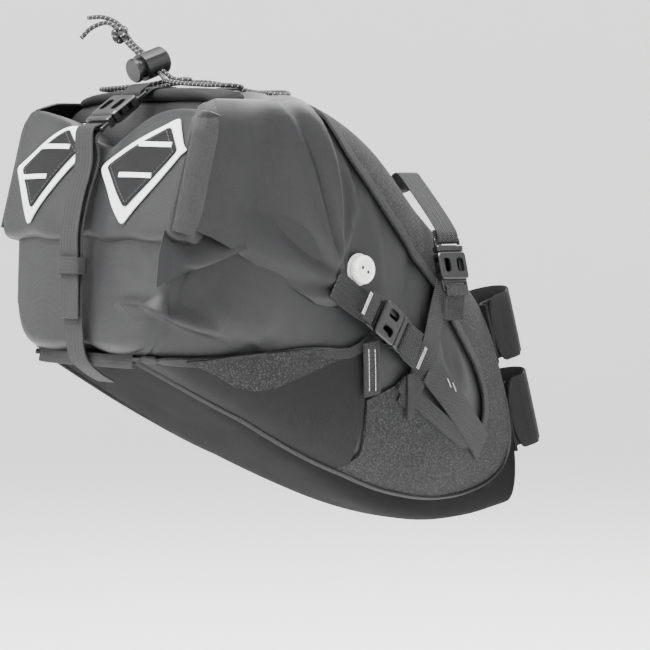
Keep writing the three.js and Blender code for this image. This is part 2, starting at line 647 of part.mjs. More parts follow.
/** A round cord through places, as a solid. */
function cord(places, steps) {
  const section = new THREE.Shape();
  const sides = 8;
  for (let i = 0; i < sides; i += 1) {
    const a = (2 * Math.PI * i) / sides;
    const p = [(CORD / 2) * Math.cos(a), (CORD / 2) * Math.sin(a)];
    if (i === 0) section.moveTo(...p);
    else section.lineTo(...p);
  }
  const extrudePath = new THREE.CatmullRomCurve3(places.map((p) => vec(...p)), false, "centripetal");
  return toSolid(new THREE.ExtrudeGeometry(section, { steps, extrudePath }));
}
const through = (along, across) =>
  lockPlace.clone().addScaledVector(cordRun, along).addScaledVector(press, across).toArray();
const CORD_PLACES = [
  [-292, 54, 226], [-286, 50, 233], [-278, 42, 236], through(22, 1.6), through(10, 1.7), through(0, 1.7),
  through(-11, 1.7), [-275, -22, 197], [-269.5, -56, 194], [-268, -66, 193.8], [-264, -73.4, 193.5],
  [-257.5, -75, 193], [-251.5, -70.5, 192.3], [-248, -62, 192], [-231, -22, 192.5], [-215, 36, 190],
  [-213.6, 49, 189.2], [-211.8, 53.5, 188.5], [-207.3, 55.4, 188.2], [-202.8, 53.5, 188.8], [-201, 49, 190],
  [-201, 30, 190.6], [-201, -30, 190.6], [-201, -49, 190], [-202.8, -53.5, 188.8], [-207.3, -55.4, 188.2],
  [-211.8, -53.5, 188.5], [-213.6, -49, 189.2], [-215, -34, 190.4], [-231, 2, 197.4], [-248, 58, 193.4],
  [-250.7, 67, 193], [-253, 72.6, 193.1], [-258.6, 74.9, 193.3], [-264.2, 72.6, 193.5], [-266.5, 67, 193.7], [-266, 56, 194],
  [-259, 26, 195.8], [-251.5, 8, 198.6], [-249.2, -7, 198.8], [-251, -12, 198.4], [-255.4, -14, 198],
  [-259.8, -12.2, 198.2], [-261.8, -7.6, 199.4], through(-12, -2), through(-8, -1.7), through(0, -1.7), through(10, -1.7),
  through(22, -1.6), [-272, 41, 236], [-277, 50, 240], [-281, 62, 240],
];
const knot = toSolid(new THREE.SphereGeometry(4.6, 10, 8).translate(...through(33, 0)));
add("shock_cord", cord(CORD_PLACES, 190).add(knot), cordage);

export default bag;
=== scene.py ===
import math

import bmesh
import bpy
import numpy as np
from mathutils import Matrix, Vector


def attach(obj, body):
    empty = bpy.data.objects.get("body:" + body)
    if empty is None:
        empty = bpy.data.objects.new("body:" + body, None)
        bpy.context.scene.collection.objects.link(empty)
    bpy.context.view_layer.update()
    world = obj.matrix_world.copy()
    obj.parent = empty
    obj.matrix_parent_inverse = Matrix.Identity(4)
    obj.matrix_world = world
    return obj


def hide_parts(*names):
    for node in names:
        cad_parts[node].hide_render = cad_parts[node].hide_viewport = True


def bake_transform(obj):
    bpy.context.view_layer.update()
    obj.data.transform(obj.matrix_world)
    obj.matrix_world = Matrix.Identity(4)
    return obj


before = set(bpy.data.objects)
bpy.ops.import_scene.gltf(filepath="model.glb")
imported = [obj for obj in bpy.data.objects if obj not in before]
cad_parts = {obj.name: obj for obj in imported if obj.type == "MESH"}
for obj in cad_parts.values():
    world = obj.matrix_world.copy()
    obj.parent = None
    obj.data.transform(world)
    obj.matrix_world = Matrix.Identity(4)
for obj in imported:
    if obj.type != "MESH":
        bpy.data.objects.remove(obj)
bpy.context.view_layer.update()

bl_info = {
    "name": "Bikepacking Saddle Bag",
    "version": (1, 0, 0),
    "blender": (4, 5, 0),
    "location": "View3D > Sidebar > Saddle Bag",
    "description": "Builds a tapered dry bag in its harness, with webbing, buckles and shock cord",
    "category": "Mesh",
}

MM = 0.001
SIDES = ((-1, "right"), (1, "left"))
SEAT_ANGLE = math.radians(15.4)  # the seatpost leans back from the vertical

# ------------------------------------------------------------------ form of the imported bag
# From the rear to the nose, in millimetres: the keel's x and z, the crown's x and z, the half
# width between them and the squareness of the section.
SECTIONS = np.array([
    [-329, 28, -309, 169, 91, 8.0],
    [-300, 12, -280, 182, 95, 8.5],
    [-240, -22, -232, 188, 94, 7.5],
    [-180, -55, -185, 180, 90, 5.2],
    [-120, -82, -140, 160, 80, 3.8],
    [-70, -94, -97, 124, 66, 3.2],
    [-25, -94, -62, 97, 48, 3.0],
    [14.9, -88, -25.3, 58, 29, 2.8],
])
LAST = len(SECTIONS) - 1
UNDERCUT = 0.22


def column(k, u):
    """One column of the sections as a smooth curve."""
    u = np.asarray(u, float)
    i = np.clip(np.floor(u).astype(int), 0, LAST - 1)
    t = u - i
    at = lambda j: SECTIONS[np.clip(j, 0, LAST), k]
    m0 = (at(i + 1) - at(i - 1)) / np.where(i > 0, 2, 1)
    m1 = (at(i + 2) - at(i)) / np.where(i + 2 <= LAST, 2, 1)
    return (
        at(i) * (2 * t**3 - 3 * t**2 + 1) + m0 * (t**3 - 2 * t**2 + t)
        + at(i + 1) * (3 * t**2 - 2 * t**3) + m1 * (t**3 - t**2)
    )


def section_at(u):
    keel = np.stack([column(0, u), column(1, u)], -1)
    crown = np.stack([column(2, u), column(3, u)], -1)
    up = crown - keel
    length = np.linalg.norm(up, axis=-1)
    up = up / length[..., None]
    return (keel + crown) / 2, up, length / 2, column(4, u), column(5, u)


def undercut(v):
    return 1 - UNDERCUT * np.clip(-v, 0, None) ** 2


# Folds of the coated fabric in side view: two ends as x and z, the height, and the breadths on
# the right and left of the line.
FOLDS = (
    (-197, 78, -242, 192, 7.6, 5, 18),
    (-192, 90, -211, 190, 7.0, 5, 12),
    (-194, 82, -177, 120, 2.8, 4, 9),
    (-177, 120, -190, 154, 2.4, 4, 10),
    (-206, 64, -272, 106, 5.0, 12, 16),
    (-330, 78, -276, 84, -5.0, 9, 5),
    (-334, 60, -280, 38, 9.0, 3, 8),
    (-306, 64, -230, 20, 2.2, 2.6, 5),
    (-288, 56, -212, 44, 6.0, 17, 12),
    (-308, 80, -264, 76, -6.0, 8, 4),
    (-269, 77, -204, 47, -6.0, 8, 5),
    (-262, 26, -236, 36, -3.0, 6, 6),
    (-150, 60, -166, 128, 2.4, 8, 14),
    (-128, 60, -112, 104, -2.4, 8, 9),
    (-86, 34, -72, 4, -3.4, 5, 7),
    (-102, 44, -112, 8, 2.8, 4, 9),
    (-70, 20, -52, -8, 2.6, 4, 8),
)


def fold_height(x, y, z):
    """How far the loose fabric stands off the form, in millimetres."""
    total = np.zeros_like(x)
    for x0, z0, x1, z1, height, right, left in FOLDS:
        dx, dz = x1 - x0, z1 - z0
        norm = math.hypot(dx, dz)
        t = ((x - x0) * dx + (z - z0) * dz) / norm**2
        tc = np.clip(t, 0, 1)
        bow = 2.2 * np.sin(math.pi * tc)
        off = ((x - x0) * dz - (z - z0) * dx) / norm - bow
        grow = 0.6 + 0.6 * tc
        breadth = np.where(off > 0, right, left) * grow
        crest = 1 / (1 + (off / breadth) ** 2 + 1.6 * (off / breadth) ** 4)
        past = np.maximum(np.abs(t - tc) * norm - 2, 0)
        fade = np.sin(math.pi * np.clip(0.14 + 0.74 * tc, 0, 1))
        total += height * crest * np.exp(-((past / 9) ** 2)) * fade
    slow = 0.9 * np.sin(x / 17.0 + z / 29.0) * np.sin(z / 21.0 - x / 47.0)
    beside = np.clip((np.abs(y) - 36) / 26, 0, 1)
    beside = beside * np.where(y > 0, np.clip((x + 322) / 34, 0.06, 1), 1)
    return total * beside + slow


def skin(u, angle, out):
    middle, up, half, width, power = section_at(u)
    round_off = lambda v: np.sign(v) * np.abs(v) ** (2 / power)
    v = round_off(np.sin(angle))
    h = (half + out) * v
    y = (width + out) * round_off(np.cos(angle)) * undercut(v)
    return np.stack([middle[..., 0] + up[..., 0] * h, y, middle[..., 1] + up[..., 1] * h], -1)


def skin_y(x, z, out=0.0):
    """How far the skin stands from the middle plane at a place in side view."""
    x, z = np.broadcast_arrays(np.asarray(x, float), np.asarray(z, float))
    low, high = np.zeros_like(x), np.full_like(x, LAST)
    for _ in range(22):
        u = (low + high) / 2
        middle, up, *_rest = section_at(u)
        ahead = (x - middle[..., 0]) * up[..., 1] - (z - middle[..., 1]) * up[..., 0] > 0
        low, high = np.where(ahead, u, low), np.where(ahead, high, u)
    middle, up, half, width, power = section_at(low)
    v = ((x - middle[..., 0]) * up[..., 0] + (z - middle[..., 1]) * up[..., 1]) / (half + out)
    inside = np.clip(1 - np.abs(v) ** power, 0, None) ** (1 / power)
    return (width + out) * inside * undercut(v)


def on_skin(x, z, side, out):
    """Places on the side of the bag and the directions that face out there."""
    x, z = np.asarray(x, float), np.asarray(z, float)
    reach = skin_y(x, z, out)
    slope_x = (skin_y(x + 2, z) - skin_y(x - 2, z)) / 4
    slope_z = (skin_y(x, z + 2) - skin_y(x, z - 2)) / 4
    normal = np.stack([-slope_x, np.full_like(x, side), -slope_z], -1)
    normal /= np.linalg.norm(normal, axis=-1)[..., None]
    reach = reach + fold_height(x, reach, z)
    return np.stack([x, side * reach, z], -1), normal


def unit(v):
    v = np.asarray(v, float)
    return v / np.linalg.norm(v)


# ------------------------------------------------------------------ mesh helpers
def deselect():
    if bpy.context.object and bpy.context.object.mode != "OBJECT":
        bpy.ops.object.mode_set(mode="OBJECT")
    bpy.ops.object.select_all(action="DESELECT")


def select(piece):
    deselect()
    piece.select_set(True)
    bpy.context.view_layer.objects.active = piece


def grid(name, across, along, place, uv=None):
    """A primitive grid whose points, s and t from 0 to 1, go where place says, in millimetres."""
    deselect()
    bpy.ops.mesh.primitive_grid_add(x_subdivisions=across, y_subdivisions=along, size=1, calc_uvs=True)
    piece = bpy.context.object
    piece.name = name
    mesh = piece.data
    flat = np.empty(len(mesh.vertices) * 3)
    mesh.vertices.foreach_get("co", flat)
    flat = flat.reshape(-1, 3)
    s, t = flat[:, 0] + 0.5, flat[:, 1] + 0.5
    mesh.vertices.foreach_set("co", (np.asarray(place(s, t)) * MM).ravel())
    if uv is not None:
        u, v = uv(s, t)
        corner = np.empty(len(mesh.loops), int)
        mesh.loops.foreach_get("vertex_index", corner)
        mesh.uv_layers.active.data.foreach_set("uv", np.stack([u, v], -1)[corner].ravel())
    mesh.update()
    return piece


def close(piece, merge=0.00004, fill=True):
    """Joins the seams, caps open ends and faces everything outwards."""
    select(piece)
    bpy.ops.object.mode_set(mode="EDIT")
    bpy.ops.mesh.select_all(action="SELECT")
    bpy.ops.mesh.remove_doubles(threshold=merge)
    bpy.ops.mesh.dissolve_degenerate(threshold=merge / 2)
    if fill:
        bpy.ops.mesh.select_all(action="DESELECT")
        bpy.ops.mesh.select_non_manifold(extend=False, use_wire=False, use_multi_face=False,
                                         use_non_contiguous=False, use_verts=False)
        bpy.ops.mesh.edge_face_add()
        bpy.ops.mesh.select_all(action="SELECT")
    bpy.ops.mesh.normals_make_consistent(inside=False)
    bpy.ops.object.mode_set(mode="OBJECT")
    bpy.ops.object.shade_smooth_by_angle(angle=math.radians(42))
    return piece


def modify(piece, kind, **settings):
    """Adds a modifier and applies it."""
    select(piece)
    made = piece.modifiers.new(kind.title(), kind)
    for key, value in settings.items():
        setattr(made, key, value)
    bpy.ops.object.modifier_apply(modifier=made.name)
    return piece


def thicken(piece, thickness, offset=0.0, merge=0.00004):
    """Gives a sheet its thickness, after its seams and poles are merged."""
    close(piece, merge=merge, fill=False)
    modify(piece, "SOLIDIFY", thickness=thickness * MM, offset=offset, use_even_offset=False,
           use_rim=True)
    return close(piece, merge=0.00001, fill=False)


def keep_inside(piece, test):
    """Deletes the faces whose corners all fail test(x, y, z), given in millimetres."""
    mesh = piece.data
    co = np.empty(len(mesh.vertices) * 3)
    mesh.vertices.foreach_get("co", co)
    inside = test(*(co.reshape(-1, 3).T / MM))
    shell = bmesh.new()
    shell.from_mesh(mesh)
    shell.faces.ensure_lookup_table()
    out = [f for f in shell.faces if not any(inside[v.index] for v in f.verts)]
    bmesh.ops.delete(shell, geom=out, context="FACES")
    shell.to_mesh(mesh)
    shell.free()
    return piece


def in_outline(outline, x, z):
    inside = np.zeros(np.shape(x), bool)
    n = len(outline)
    for i in range(n):
        (x0, z0), (x1, z1) = outline[i], outline[(i + 1) % n]
        crosses = (z0 > z) != (z1 > z)
        inside ^= crosses & (x < (x1 - x0) * (z - z0) / ((z1 - z0) or 1e-9) + x0)
    return inside


def nearest_on_outline(outline, x, z):
    best = np.full(np.shape(x), 1e9)
    bx, bz = np.array(x, float), np.array(z, float)
    n = len(outline)
    for i in range(n):
        (x0, z0), (x1, z1) = outline[i], outline[(i + 1) % n]
        dx, dz = x1 - x0, z1 - z0
        t = np.clip(((x - x0) * dx + (z - z0) * dz) / (dx * dx + dz * dz), 0, 1)
        px, pz = x0 + t * dx, z0 + t * dz
        d = (px - x) ** 2 + (pz - z) ** 2
        near = d < best
        best, bx, bz = np.where(near, d, best), np.where(near, px, bx), np.where(near, pz, bz)
    return bx, bz


def spline(points, step):
    """Evenly spaced places on a smooth curve through points of any dimension."""
    p = np.asarray(points, float)
    p = np.vstack([2 * p[0] - p[1], p, 2 * p[-1] - p[-2]])
    dense = []
    for i in range(1, len(p) - 2):
        a, b, c, d = p[i - 1], p[i], p[i + 1], p[i + 2]
        ta = np.linalg.norm(b - a) ** 0.5 + 1e-6
        tb = np.linalg.norm(c - b) ** 0.5 + 1e-6
        tc = np.linalg.norm(d - c) ** 0.5 + 1e-6
        m0 = (b - a) / ta - (c - a) / (ta + tb) + (c - b) / tb
        m1 = (c - b) / tb - (d - b) / (tb + tc) + (d - c) / tc
        t = np.linspace(0, 1, 24, endpoint=False)[:, None]
        dense.append(
            b * (2 * t**3 - 3 * t**2 + 1) + m0 * tb * (t**3 - 2 * t**2 + t)
            + c * (3 * t**2 - 2 * t**3) + m1 * tb * (t**3 - t**2)
        )
    dense.append(p[-2][None])
    dense = np.vstack(dense)
    run = np.concatenate([[0], np.cumsum(np.linalg.norm(np.diff(dense, axis=0), axis=1))])
    count = max(2, int(round(run[-1] / step)))
    at = np.linspace(0, run[-1], count + 1)
    return np.stack([np.interp(at, run, dense[:, k]) for k in range(dense.shape[1])], -1)


def tape(name, centre, normal, width, thick, ends=None):
    """A woven tape along centre, its flat face along normal; ends narrows it at each end."""
    centre, normal = np.asarray(centre, float), np.asarray(normal, float)
    tangent = np.gradient(centre, axis=0)
    tangent /= np.linalg.norm(tangent, axis=1)[:, None]
    side = np.cross(tangent, normal)
    side /= np.linalg.norm(side, axis=1)[:, None]
    face = np.cross(side, tangent)
    run = np.concatenate([[0], np.cumsum(np.linalg.norm(np.diff(centre, axis=0), axis=1))])
    n = len(centre) - 1
    half = np.array([-1, -0.97, -0.6, 0, 0.6, 0.97, 1])
    lift = np.array([0.25, 0.85, 1, 1, 1, 0.85, 0.25])
    ring_w = np.concatenate([half, half[::-1]])
    ring_h = np.concatenate([lift, -lift[::-1]])
    sides = len(ring_w)
    slim = np.ones(n + 1) if ends is None else ends(run, run[-1])

    def place(s, t):
        i = np.clip(np.rint(t * n).astype(int), 0, n)
        j = np.rint(s * sides).astype(int) % sides
        w = (ring_w[j] * width / 2 * slim[i])[:, None]
        h = (ring_h[j] * thick / 2)[:, None]
        return centre[i] + side[i] * w + face[i] * h

    def uv(s, t):
        i = np.clip(np.rint(t * n).astype(int), 0, n)
        j = np.rint(s * sides).astype(int) % sides
        return run[i] * MM, ring_w[j] * width / 2 * slim[i] * MM

    return close(grid(name, sides, n, place, uv))


def round_ends(length):
    """Half width along a tape whose far end is rounded."""
    def narrow(run, total):
        left = total - run
        return np.sqrt(np.clip(1 - (1 - np.clip(left / length, 0, 1)) ** 2, 0.02, 1))
    return narrow


def tube(name, points, radius, sides=10, step=1.5):
    """A round cord along points, with its length and turn in its UV map."""
    line = spline(points, step)
    tangent = np.gradient(line, axis=0)
    tangent /= np.linalg.norm(tangent, axis=1)[:, None]
    side = np.zeros_like(line)
    side[0] = unit(np.cross(tangent[0], [0.13, 0.21, 0.97]))
    for i in range(1, len(line)):
        carried = side[i - 1] - tangent[i] * np.dot(side[i - 1], tangent[i])
        side[i] = unit(carried)
    third = np.cross(tangent, side)
    run = np.concatenate([[0], np.cumsum(np.linalg.norm(np.diff(line, axis=0), axis=1))])
    n = len(line) - 1

    def place(s, t):
        i = np.clip(np.rint(t * n).astype(int), 0, n)
        a = (2 * math.pi * s)[:, None]
        return line[i] + radius * (side[i] * np.cos(a) + third[i] * np.sin(a))

    uv = lambda s, t: (run[np.clip(np.rint(t * n).astype(int), 0, n)] * MM, s)
    return close(grid(name, sides, n, place, uv)), line, run[-1]


def stitch_row(name, rows, size=(2.4, 0.42), pitch=3.4):
    """Short raised threads along rows, each a list of places and the way out there."""
    long, radius = size
    places = []
    for line, normal in rows:
        run = np.concatenate([[0], np.cumsum(np.linalg.norm(np.diff(line, axis=0), axis=1))])
        count = max(1, int(run[-1] / pitch))
        for at in (np.arange(count) + 0.5) * run[-1] / count:
            p = np.array([np.interp(at, run, line[:, k]) for k in range(3)])
            q = np.array([np.interp(at + 0.3, run, line[:, k]) for k in range(3)])
            if np.linalg.norm(q - p) < 1e-6:
                q, p = p, np.array([np.interp(at - 0.3, run, line[:, k]) for k in range(3)])
            out = np.array([np.interp(at, run, normal[:, k]) for k in range(3)])
            places.append((p, unit(q - p), unit(out)))
    deselect()
    bpy.ops.mesh.primitive_cylinder_add(vertices=6, radius=radius * MM, depth=long * MM,
                                        end_fill_type="TRIFAN")
    piece = bpy.context.object
    piece.name = name
    model = bmesh.new()
    model.from_mesh(piece.data)
    for v in model.verts:
        if abs(v.co.z) > long * MM * 0.45 and v.co.xy.length > radius * MM * 0.5:
            v.co.x *= 0.5
            v.co.y *= 0.5
    single = bpy.data.meshes.new("thread")
    model.to_mesh(single)
    model.free()
    all_threads = bmesh.new()
    for p, along, out in places:
        side = np.cross(out, along)
        turn = Matrix((side, np.cross(along, side), along)).transposed().to_4x4()
        copy = single.copy()
        copy.transform(Matrix.Translation(Vector(p * MM)) @ turn)
        all_threads.from_mesh(copy)
        bpy.data.meshes.remove(copy)
    all_threads.to_mesh(piece.data)
    all_threads.free()
    bpy.data.meshes.remove(single)
    return piece


def finish_piece(piece, body, slot, material, *nodes):
    """Gives a piece its material, its body and the nodes that it stands for; slot is not used."""
    piece.data.materials.clear()
    piece.data.materials.append(material)
    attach(piece, body)
    if nodes:
        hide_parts(*nodes)
    return piece


# ------------------------------------------------------------------ shader nodes
class Wire:
    """A node socket that takes part in Python expressions."""

    def __init__(self, tree, socket):
        self.tree, self.socket = tree, socket

    def _math(self, operation, other=None, swap=False):
        made = self.tree.nodes.new("ShaderNodeMath")
        made.operation = operation
        pair = [other, self] if swap else [self, other]
        for slot, value in zip(made.inputs, pair):
            if isinstance(value, Wire):
                self.tree.links.new(value.socket, slot)
            elif value is not None:
                slot.default_value = value
        return Wire(self.tree, made.outputs[0])

    def __add__(self, other): return self._math("ADD", other)
    def __radd__(self, other): return self._math("ADD", other, True)
    def __sub__(self, other): return self._math("SUBTRACT", other)
    def __rsub__(self, other): return self._math("SUBTRACT", other, True)
    def __mul__(self, other): return self._math("MULTIPLY", other)
    def __rmul__(self, other): return self._math("MULTIPLY", other, True)
    def __truediv__(self, other): return self._math("DIVIDE", other)
    def __pow__(self, other): return self._math("POWER", other)
    def __gt__(self, other): return self._math("GREATER_THAN", other)
    def __lt__(self, other): return self._math("LESS_THAN", other)
    def sin(self): return self._math("SINE")
    def fract(self): return self._math("FRACT")
    def abs(self): return self._math("ABSOLUTE")
    def max(self, other): return self._math("MAXIMUM", other)
    def min(self, other): return self._math("MINIMUM", other)


class Finish:
    """A material and the one method that adds any node to it."""

    def __init__(self, name, color, roughness, **shader):
        self.material = bpy.data.materials.new(name)
        self.material.use_nodes = True
        self.tree = self.material.node_tree
        self.shader = self.tree.nodes["Principled BSDF"]
        self.shader.inputs["Roughness"].default_value = roughness
        self.shader.inputs["Base Color"].default_value = (*color, 1)
        for key, value in shader.items():
            socket = key.replace("_", " ").title().replace("Ior", "IOR")
            self.shader.inputs[socket].default_value = value
        self.color = color

    def node(self, kind, settings=None, out=0, **inputs):
        made = self.tree.nodes.new(kind)
        for key, value in (settings or {}).items():
            if key == "stops":
                ramp = made.color_ramp.elements
                ramp[0].position, ramp[0].color = value[0][0], (*value[0][1], 1)
                ramp[1].position, ramp[1].color = value[-1][0], (*value[-1][1], 1)
                for place, color in value[1:-1]:
                    ramp.new(place).color = (*color, 1)
            else:
                setattr(made, key, value)
        for key, value in inputs.items():
            slot = made.inputs[int(key[1:]) if key[0] == "_" else key.replace("_", " ").title()]
            if isinstance(value, Wire):
                self.tree.links.new(value.socket, slot)
            else:
                slot.default_value = value
        return Wire(self.tree, made.outputs[out])

    def place(self):
        return self.node("ShaderNodeTexCoord", out=3)

    def uv(self):
        return self.node("ShaderNodeTexCoord", out=2)

    def axes(self, vector):
        split = self.node("ShaderNodeSeparateXYZ", _0=vector)
        return [Wire(self.tree, split.socket.node.outputs[k]) for k in range(3)]

    def noise(self, vector, scale, detail=3.0, roughness=0.55):
        return self.node("ShaderNodeTexNoise", Vector=vector, Scale=scale, Detail=detail,
                         Roughness=roughness)

    def mix(self, factor, a, b):
        color = lambda c: c if isinstance(c, Wire) else (*c, 1)
        return self.node("ShaderNodeMix", {"data_type": "RGBA"}, out=2,
                         _0=factor, _6=color(a), _7=color(b))

    def feed(self, **sockets):
        for key, value in sockets.items():
            self.tree.links.new(value.socket, self.shader.inputs[key.replace("_", " ").title()])

    def bump(self, height, strength=0.5, distance=0.0004):
        self.feed(normal=self.node("ShaderNodeBump", Height=height, Strength=strength,
                                   Distance=distance))


def shade(color, by):
    return tuple(min(1.0, c * by) for c in color)


def coated_fabric(name, color, roughness, cell=0.0011, gloss=0.38):
    """Coated ripstop: a fine thread relief under a slightly cloudy film."""
    made = Finish(name, color, roughness, specular_ior_level=gloss)
    p = made.place()
    x, y, z = made.axes(p)
    k = 2 * math.pi / cell
    weave = (x * k).sin() * ((z + y) * k).sin()
    cloud = made.noise(p, 34, 4)
    fine = made.noise(p, 1700, 2)
    rub = made.noise(p, 130, 3, 0.7)
    dusty = (cloud - 0.42).max(0.0) * 0.9
    tone = made.mix(dusty, shade(color, 0.86), shade(color, 1.35))
    made.feed(base_color=made.mix(((fine - 0.46) * 2.0).max(0.0).min(1.0), tone, shade(color, 2.2)))
    made.feed(roughness=roughness - 0.10 + 0.2 * cloud + 0.08 * rub)
    made.bump(weave * 0.30 + fine * 0.5 + rub * 0.55, 0.42, 0.00035)
    return made.material


def packcloth(name, color):
    """Coarse speckled packcloth with a raised ripstop grid."""
    made = Finish(name, color, 0.82, specular_ior_level=0.3)
    p = made.place()
    x, y, z = made.axes(p)
    k = 2 * math.pi / 0.0016
    weave = (x * k).sin() * ((z + y) * k).sin()
    line = lambda v: ((v / 0.0105).fract() - 0.5).abs() > 0.468
    grid_lines = line(x + 0.3 * z).max(line(z + y))
    speck = made.noise(p, 900, 2, 0.8)
    mottle = made.noise(p, 55, 3)
    bright = ((speck - 0.5) * 7.0).max(0.0).min(1.0)
    tone = made.mix(bright, shade(color, 0.4), shade(color, 3.4))
    tone = made.mix(grid_lines * 0.3, tone, shade(color, 0.5))
    made.feed(base_color=made.mix((mottle - 0.4).max(0.0), tone, shade(color, 1.25)))
    made.feed(roughness=0.76 + 0.14 * mottle)
    made.bump(weave * 0.5 + speck * 1.1 + grid_lines * 0.5, 0.6, 0.0005)
    return made.material


def webbing_weave(name, color, rib=0.0015, chevron=0.0036):
    """Woven webbing: ribs across it and a herringbone along it, from its length and width, with a painted
    highlight on the rib tops and painted shade between them.
    """
    made = Finish(name, color, 0.72, specular_ior_level=0.32)
    u, v, _w = made.axes(made.uv())
    fold = ((v / chevron).fract() - 0.5).abs() * chevron
    ribs = ((u + fold) * (2 * math.pi / rib)).sin()
    rows = (v * (2 * math.pi / (chevron / 2))).sin()
    wear_and_sheen = made.noise(made.place(), 210, 3, 0.7)
    # The rib tops are painted lighter and the grooves darker: painted highlight and painted shade on the
    # ribs, stronger where the noise is high.
    top = ((ribs * 0.5 + 0.5) ** 2.0) * (0.35 + 1.3 * wear_and_sheen)
    made.feed(base_color=made.mix(top.min(1.0), shade(color, 0.3), shade(color, 7.0)))
    made.feed(roughness=0.62 + 0.2 * wear_and_sheen)
    made.bump(ribs * 0.9 + rows * 0.3 + wear_and_sheen * 0.4, 0.9, 0.0006)
    return made.material


def brushed_pile(name, color):
    """Short velour pile with brushed patches."""
    made = Finish(name, color, 0.9, sheen_weight=0.03, sheen_roughness=0.35,
                  specular_ior_level=0.2)
    p = made.place()
    pile = made.noise(p, 1500, 2, 0.8)
    nap = made.noise(p, 48, 3)
    made.feed(base_color=made.mix(pile * 0.6 + nap * 0.4, shade(color, 0.5), shade(color, 2.1)))
    made.feed(roughness=0.84 + 0.1 * nap)
    made.bump(pile + nap * 1.4, 0.7, 0.0006)
    return made.material


def loop_tape(name, color):
    """The loop side of hook-and-loop tape, over a ribbed ground."""
    made = Finish(name, color, 0.88, sheen_weight=0.02, sheen_roughness=0.4,
                  specular_ior_level=0.2)
    p = made.place()
    u, _v, _w = made.axes(made.uv())
    ribs = (u * (2 * math.pi / 0.0021)).sin()
    fuzz = made.noise(p, 1100, 3, 0.8)
    made.feed(base_color=made.mix(fuzz, shade(color, 0.6), shade(color, 1.9)))
    made.feed(roughness=0.8 + 0.15 * fuzz)
    made.bump(fuzz * 1.2 + ribs * 0.3, 0.6, 0.0005)
    return made.material


def moulded_plastic(name, color, roughness=0.3):
    """Moulded acetal: a satin skin with a faint texture and handling marks."""
    made = Finish(name, color, roughness, specular_ior_level=0.5)
    p = made.place()
    grain = made.noise(p, 2400, 2)
    marks = made.noise(p, 260, 4, 0.75)
    made.feed(base_color=made.mix((marks - 0.5).max(0.0) * 1.6, color, shade(color, 2.2)))
    made.feed(roughness=roughness - 0.04 + 0.16 * marks)
    made.bump(grain * 0.5 + marks * 0.3, 0.16, 0.0002)
    return made.material


def reflective_print(name, color):
    """Pale reflective film printed in small cells."""
    made = Finish(name, color, 0.42)
    p = made.place()
    cells = made.node("ShaderNodeTexVoronoi", {"feature": "DISTANCE_TO_EDGE"}, Vector=p, Scale=620)
    cloud = made.noise(p, 40, 3)
    edge = (cells < 0.09)
    made.feed(base_color=made.mix(edge * 0.35, shade(color, 1.0), shade(color, 0.66)))
    made.feed(roughness=0.36 + 0.14 * cloud)
    made.bump(edge * -0.5 + cloud * 0.4, 0.3, 0.0002)
    return made.material


def pebble_grain(name, color):
    """Coarse grained synthetic leather."""
    made = Finish(name, color, 0.5)
    p = made.place()
    cells = made.node("ShaderNodeTexVoronoi", {"feature": "DISTANCE_TO_EDGE"}, Vector=p, Scale=950)
    mottle = made.noise(p, 120, 3)
    # The hollows between the grains are painted darker and the raised grains lighter: painted shade and
    # painted light on the relief.
    hollow_and_shade = 1 - (cells * 4.0).min(1.0)
    made.feed(base_color=made.mix(hollow_and_shade, shade(color, 1.25), shade(color, 0.5)))
    made.feed(roughness=0.44 + 0.2 * mottle)
    made.bump(1 - hollow_and_shade, 0.5, 0.0003)
    return made.material


def thread(name, color):
    made = Finish(name, color, 0.55)
    twist = made.noise(made.place(), 2600, 2)
    made.feed(base_color=made.mix(twist, shade(color, 0.7), shade(color, 1.15)))
    made.bump(twist, 0.4, 0.0001)
    return made.material


def braided_cord(name, color, fleck):
    """A braided sleeve whose pale yarns show as flecks in a helix."""
    made = Finish(name, color, 0.7, specular_ior_level=0.3)
    u, v, _w = made.axes(made.uv())
    one = (u / 0.0034 + v).fract()
    two = (u / 0.0034 - v).fract()
    dash = ((one - 0.5).abs() < 0.08) * ((two * 3.0).fract() > 0.6)
    braid = ((u / 0.0018 + v * 4).fract() - 0.5).abs() + ((u / 0.0018 - v * 4).fract() - 0.5).abs()
    # The sleeve is painted lighter on the braid's raised yarns and darker between them: painted light and
    # painted shade on the braid.
    sleeve = made.mix(braid, shade(color, 0.5), shade(color, 2.0))
    made.feed(base_color=made.mix(dash, sleeve, fleck))
    made.bump(braid, 0.8, 0.0004)
    return made.material


def pale_floor(name, color):
    made = Finish(name, color, 0.9, emission_color=(*color, 1), emission_strength=0.42)
    cloud = made.noise(made.place(), 3, 3)
    made.feed(base_color=made.mix(cloud, shade(color, 0.985), color))
    return made.material


# ------------------------------------------------------------------ sizes and colours
class SaddleBagSizes(bpy.types.PropertyGroup):
    webbing: bpy.props.FloatProperty(
        name="Webbing", description="Width of the adjusting straps", default=20 * MM, unit="LENGTH")
    webbing_thick: bpy.props.FloatProperty(
        name="Webbing thickness", description="Thickness of the straps",
        default=1.4 * MM, unit="LENGTH")
    cord: bpy.props.FloatProperty(
        name="Cord", description="Diameter of the shock cord", default=3 * MM, unit="LENGTH")
    panel: bpy.props.FloatProperty(
        name="Panel", description="Thickness of a harness panel", default=1.9 * MM, unit="LENGTH")
    camera_turn: bpy.props.FloatProperty(
        name="Camera turn", description="Camera azimuth",
        default=math.radians(-36.5), subtype="ANGLE")
    camera_rise: bpy.props.FloatProperty(
        name="Camera rise", description="Camera elevation",
        default=math.radians(2.4), subtype="ANGLE")


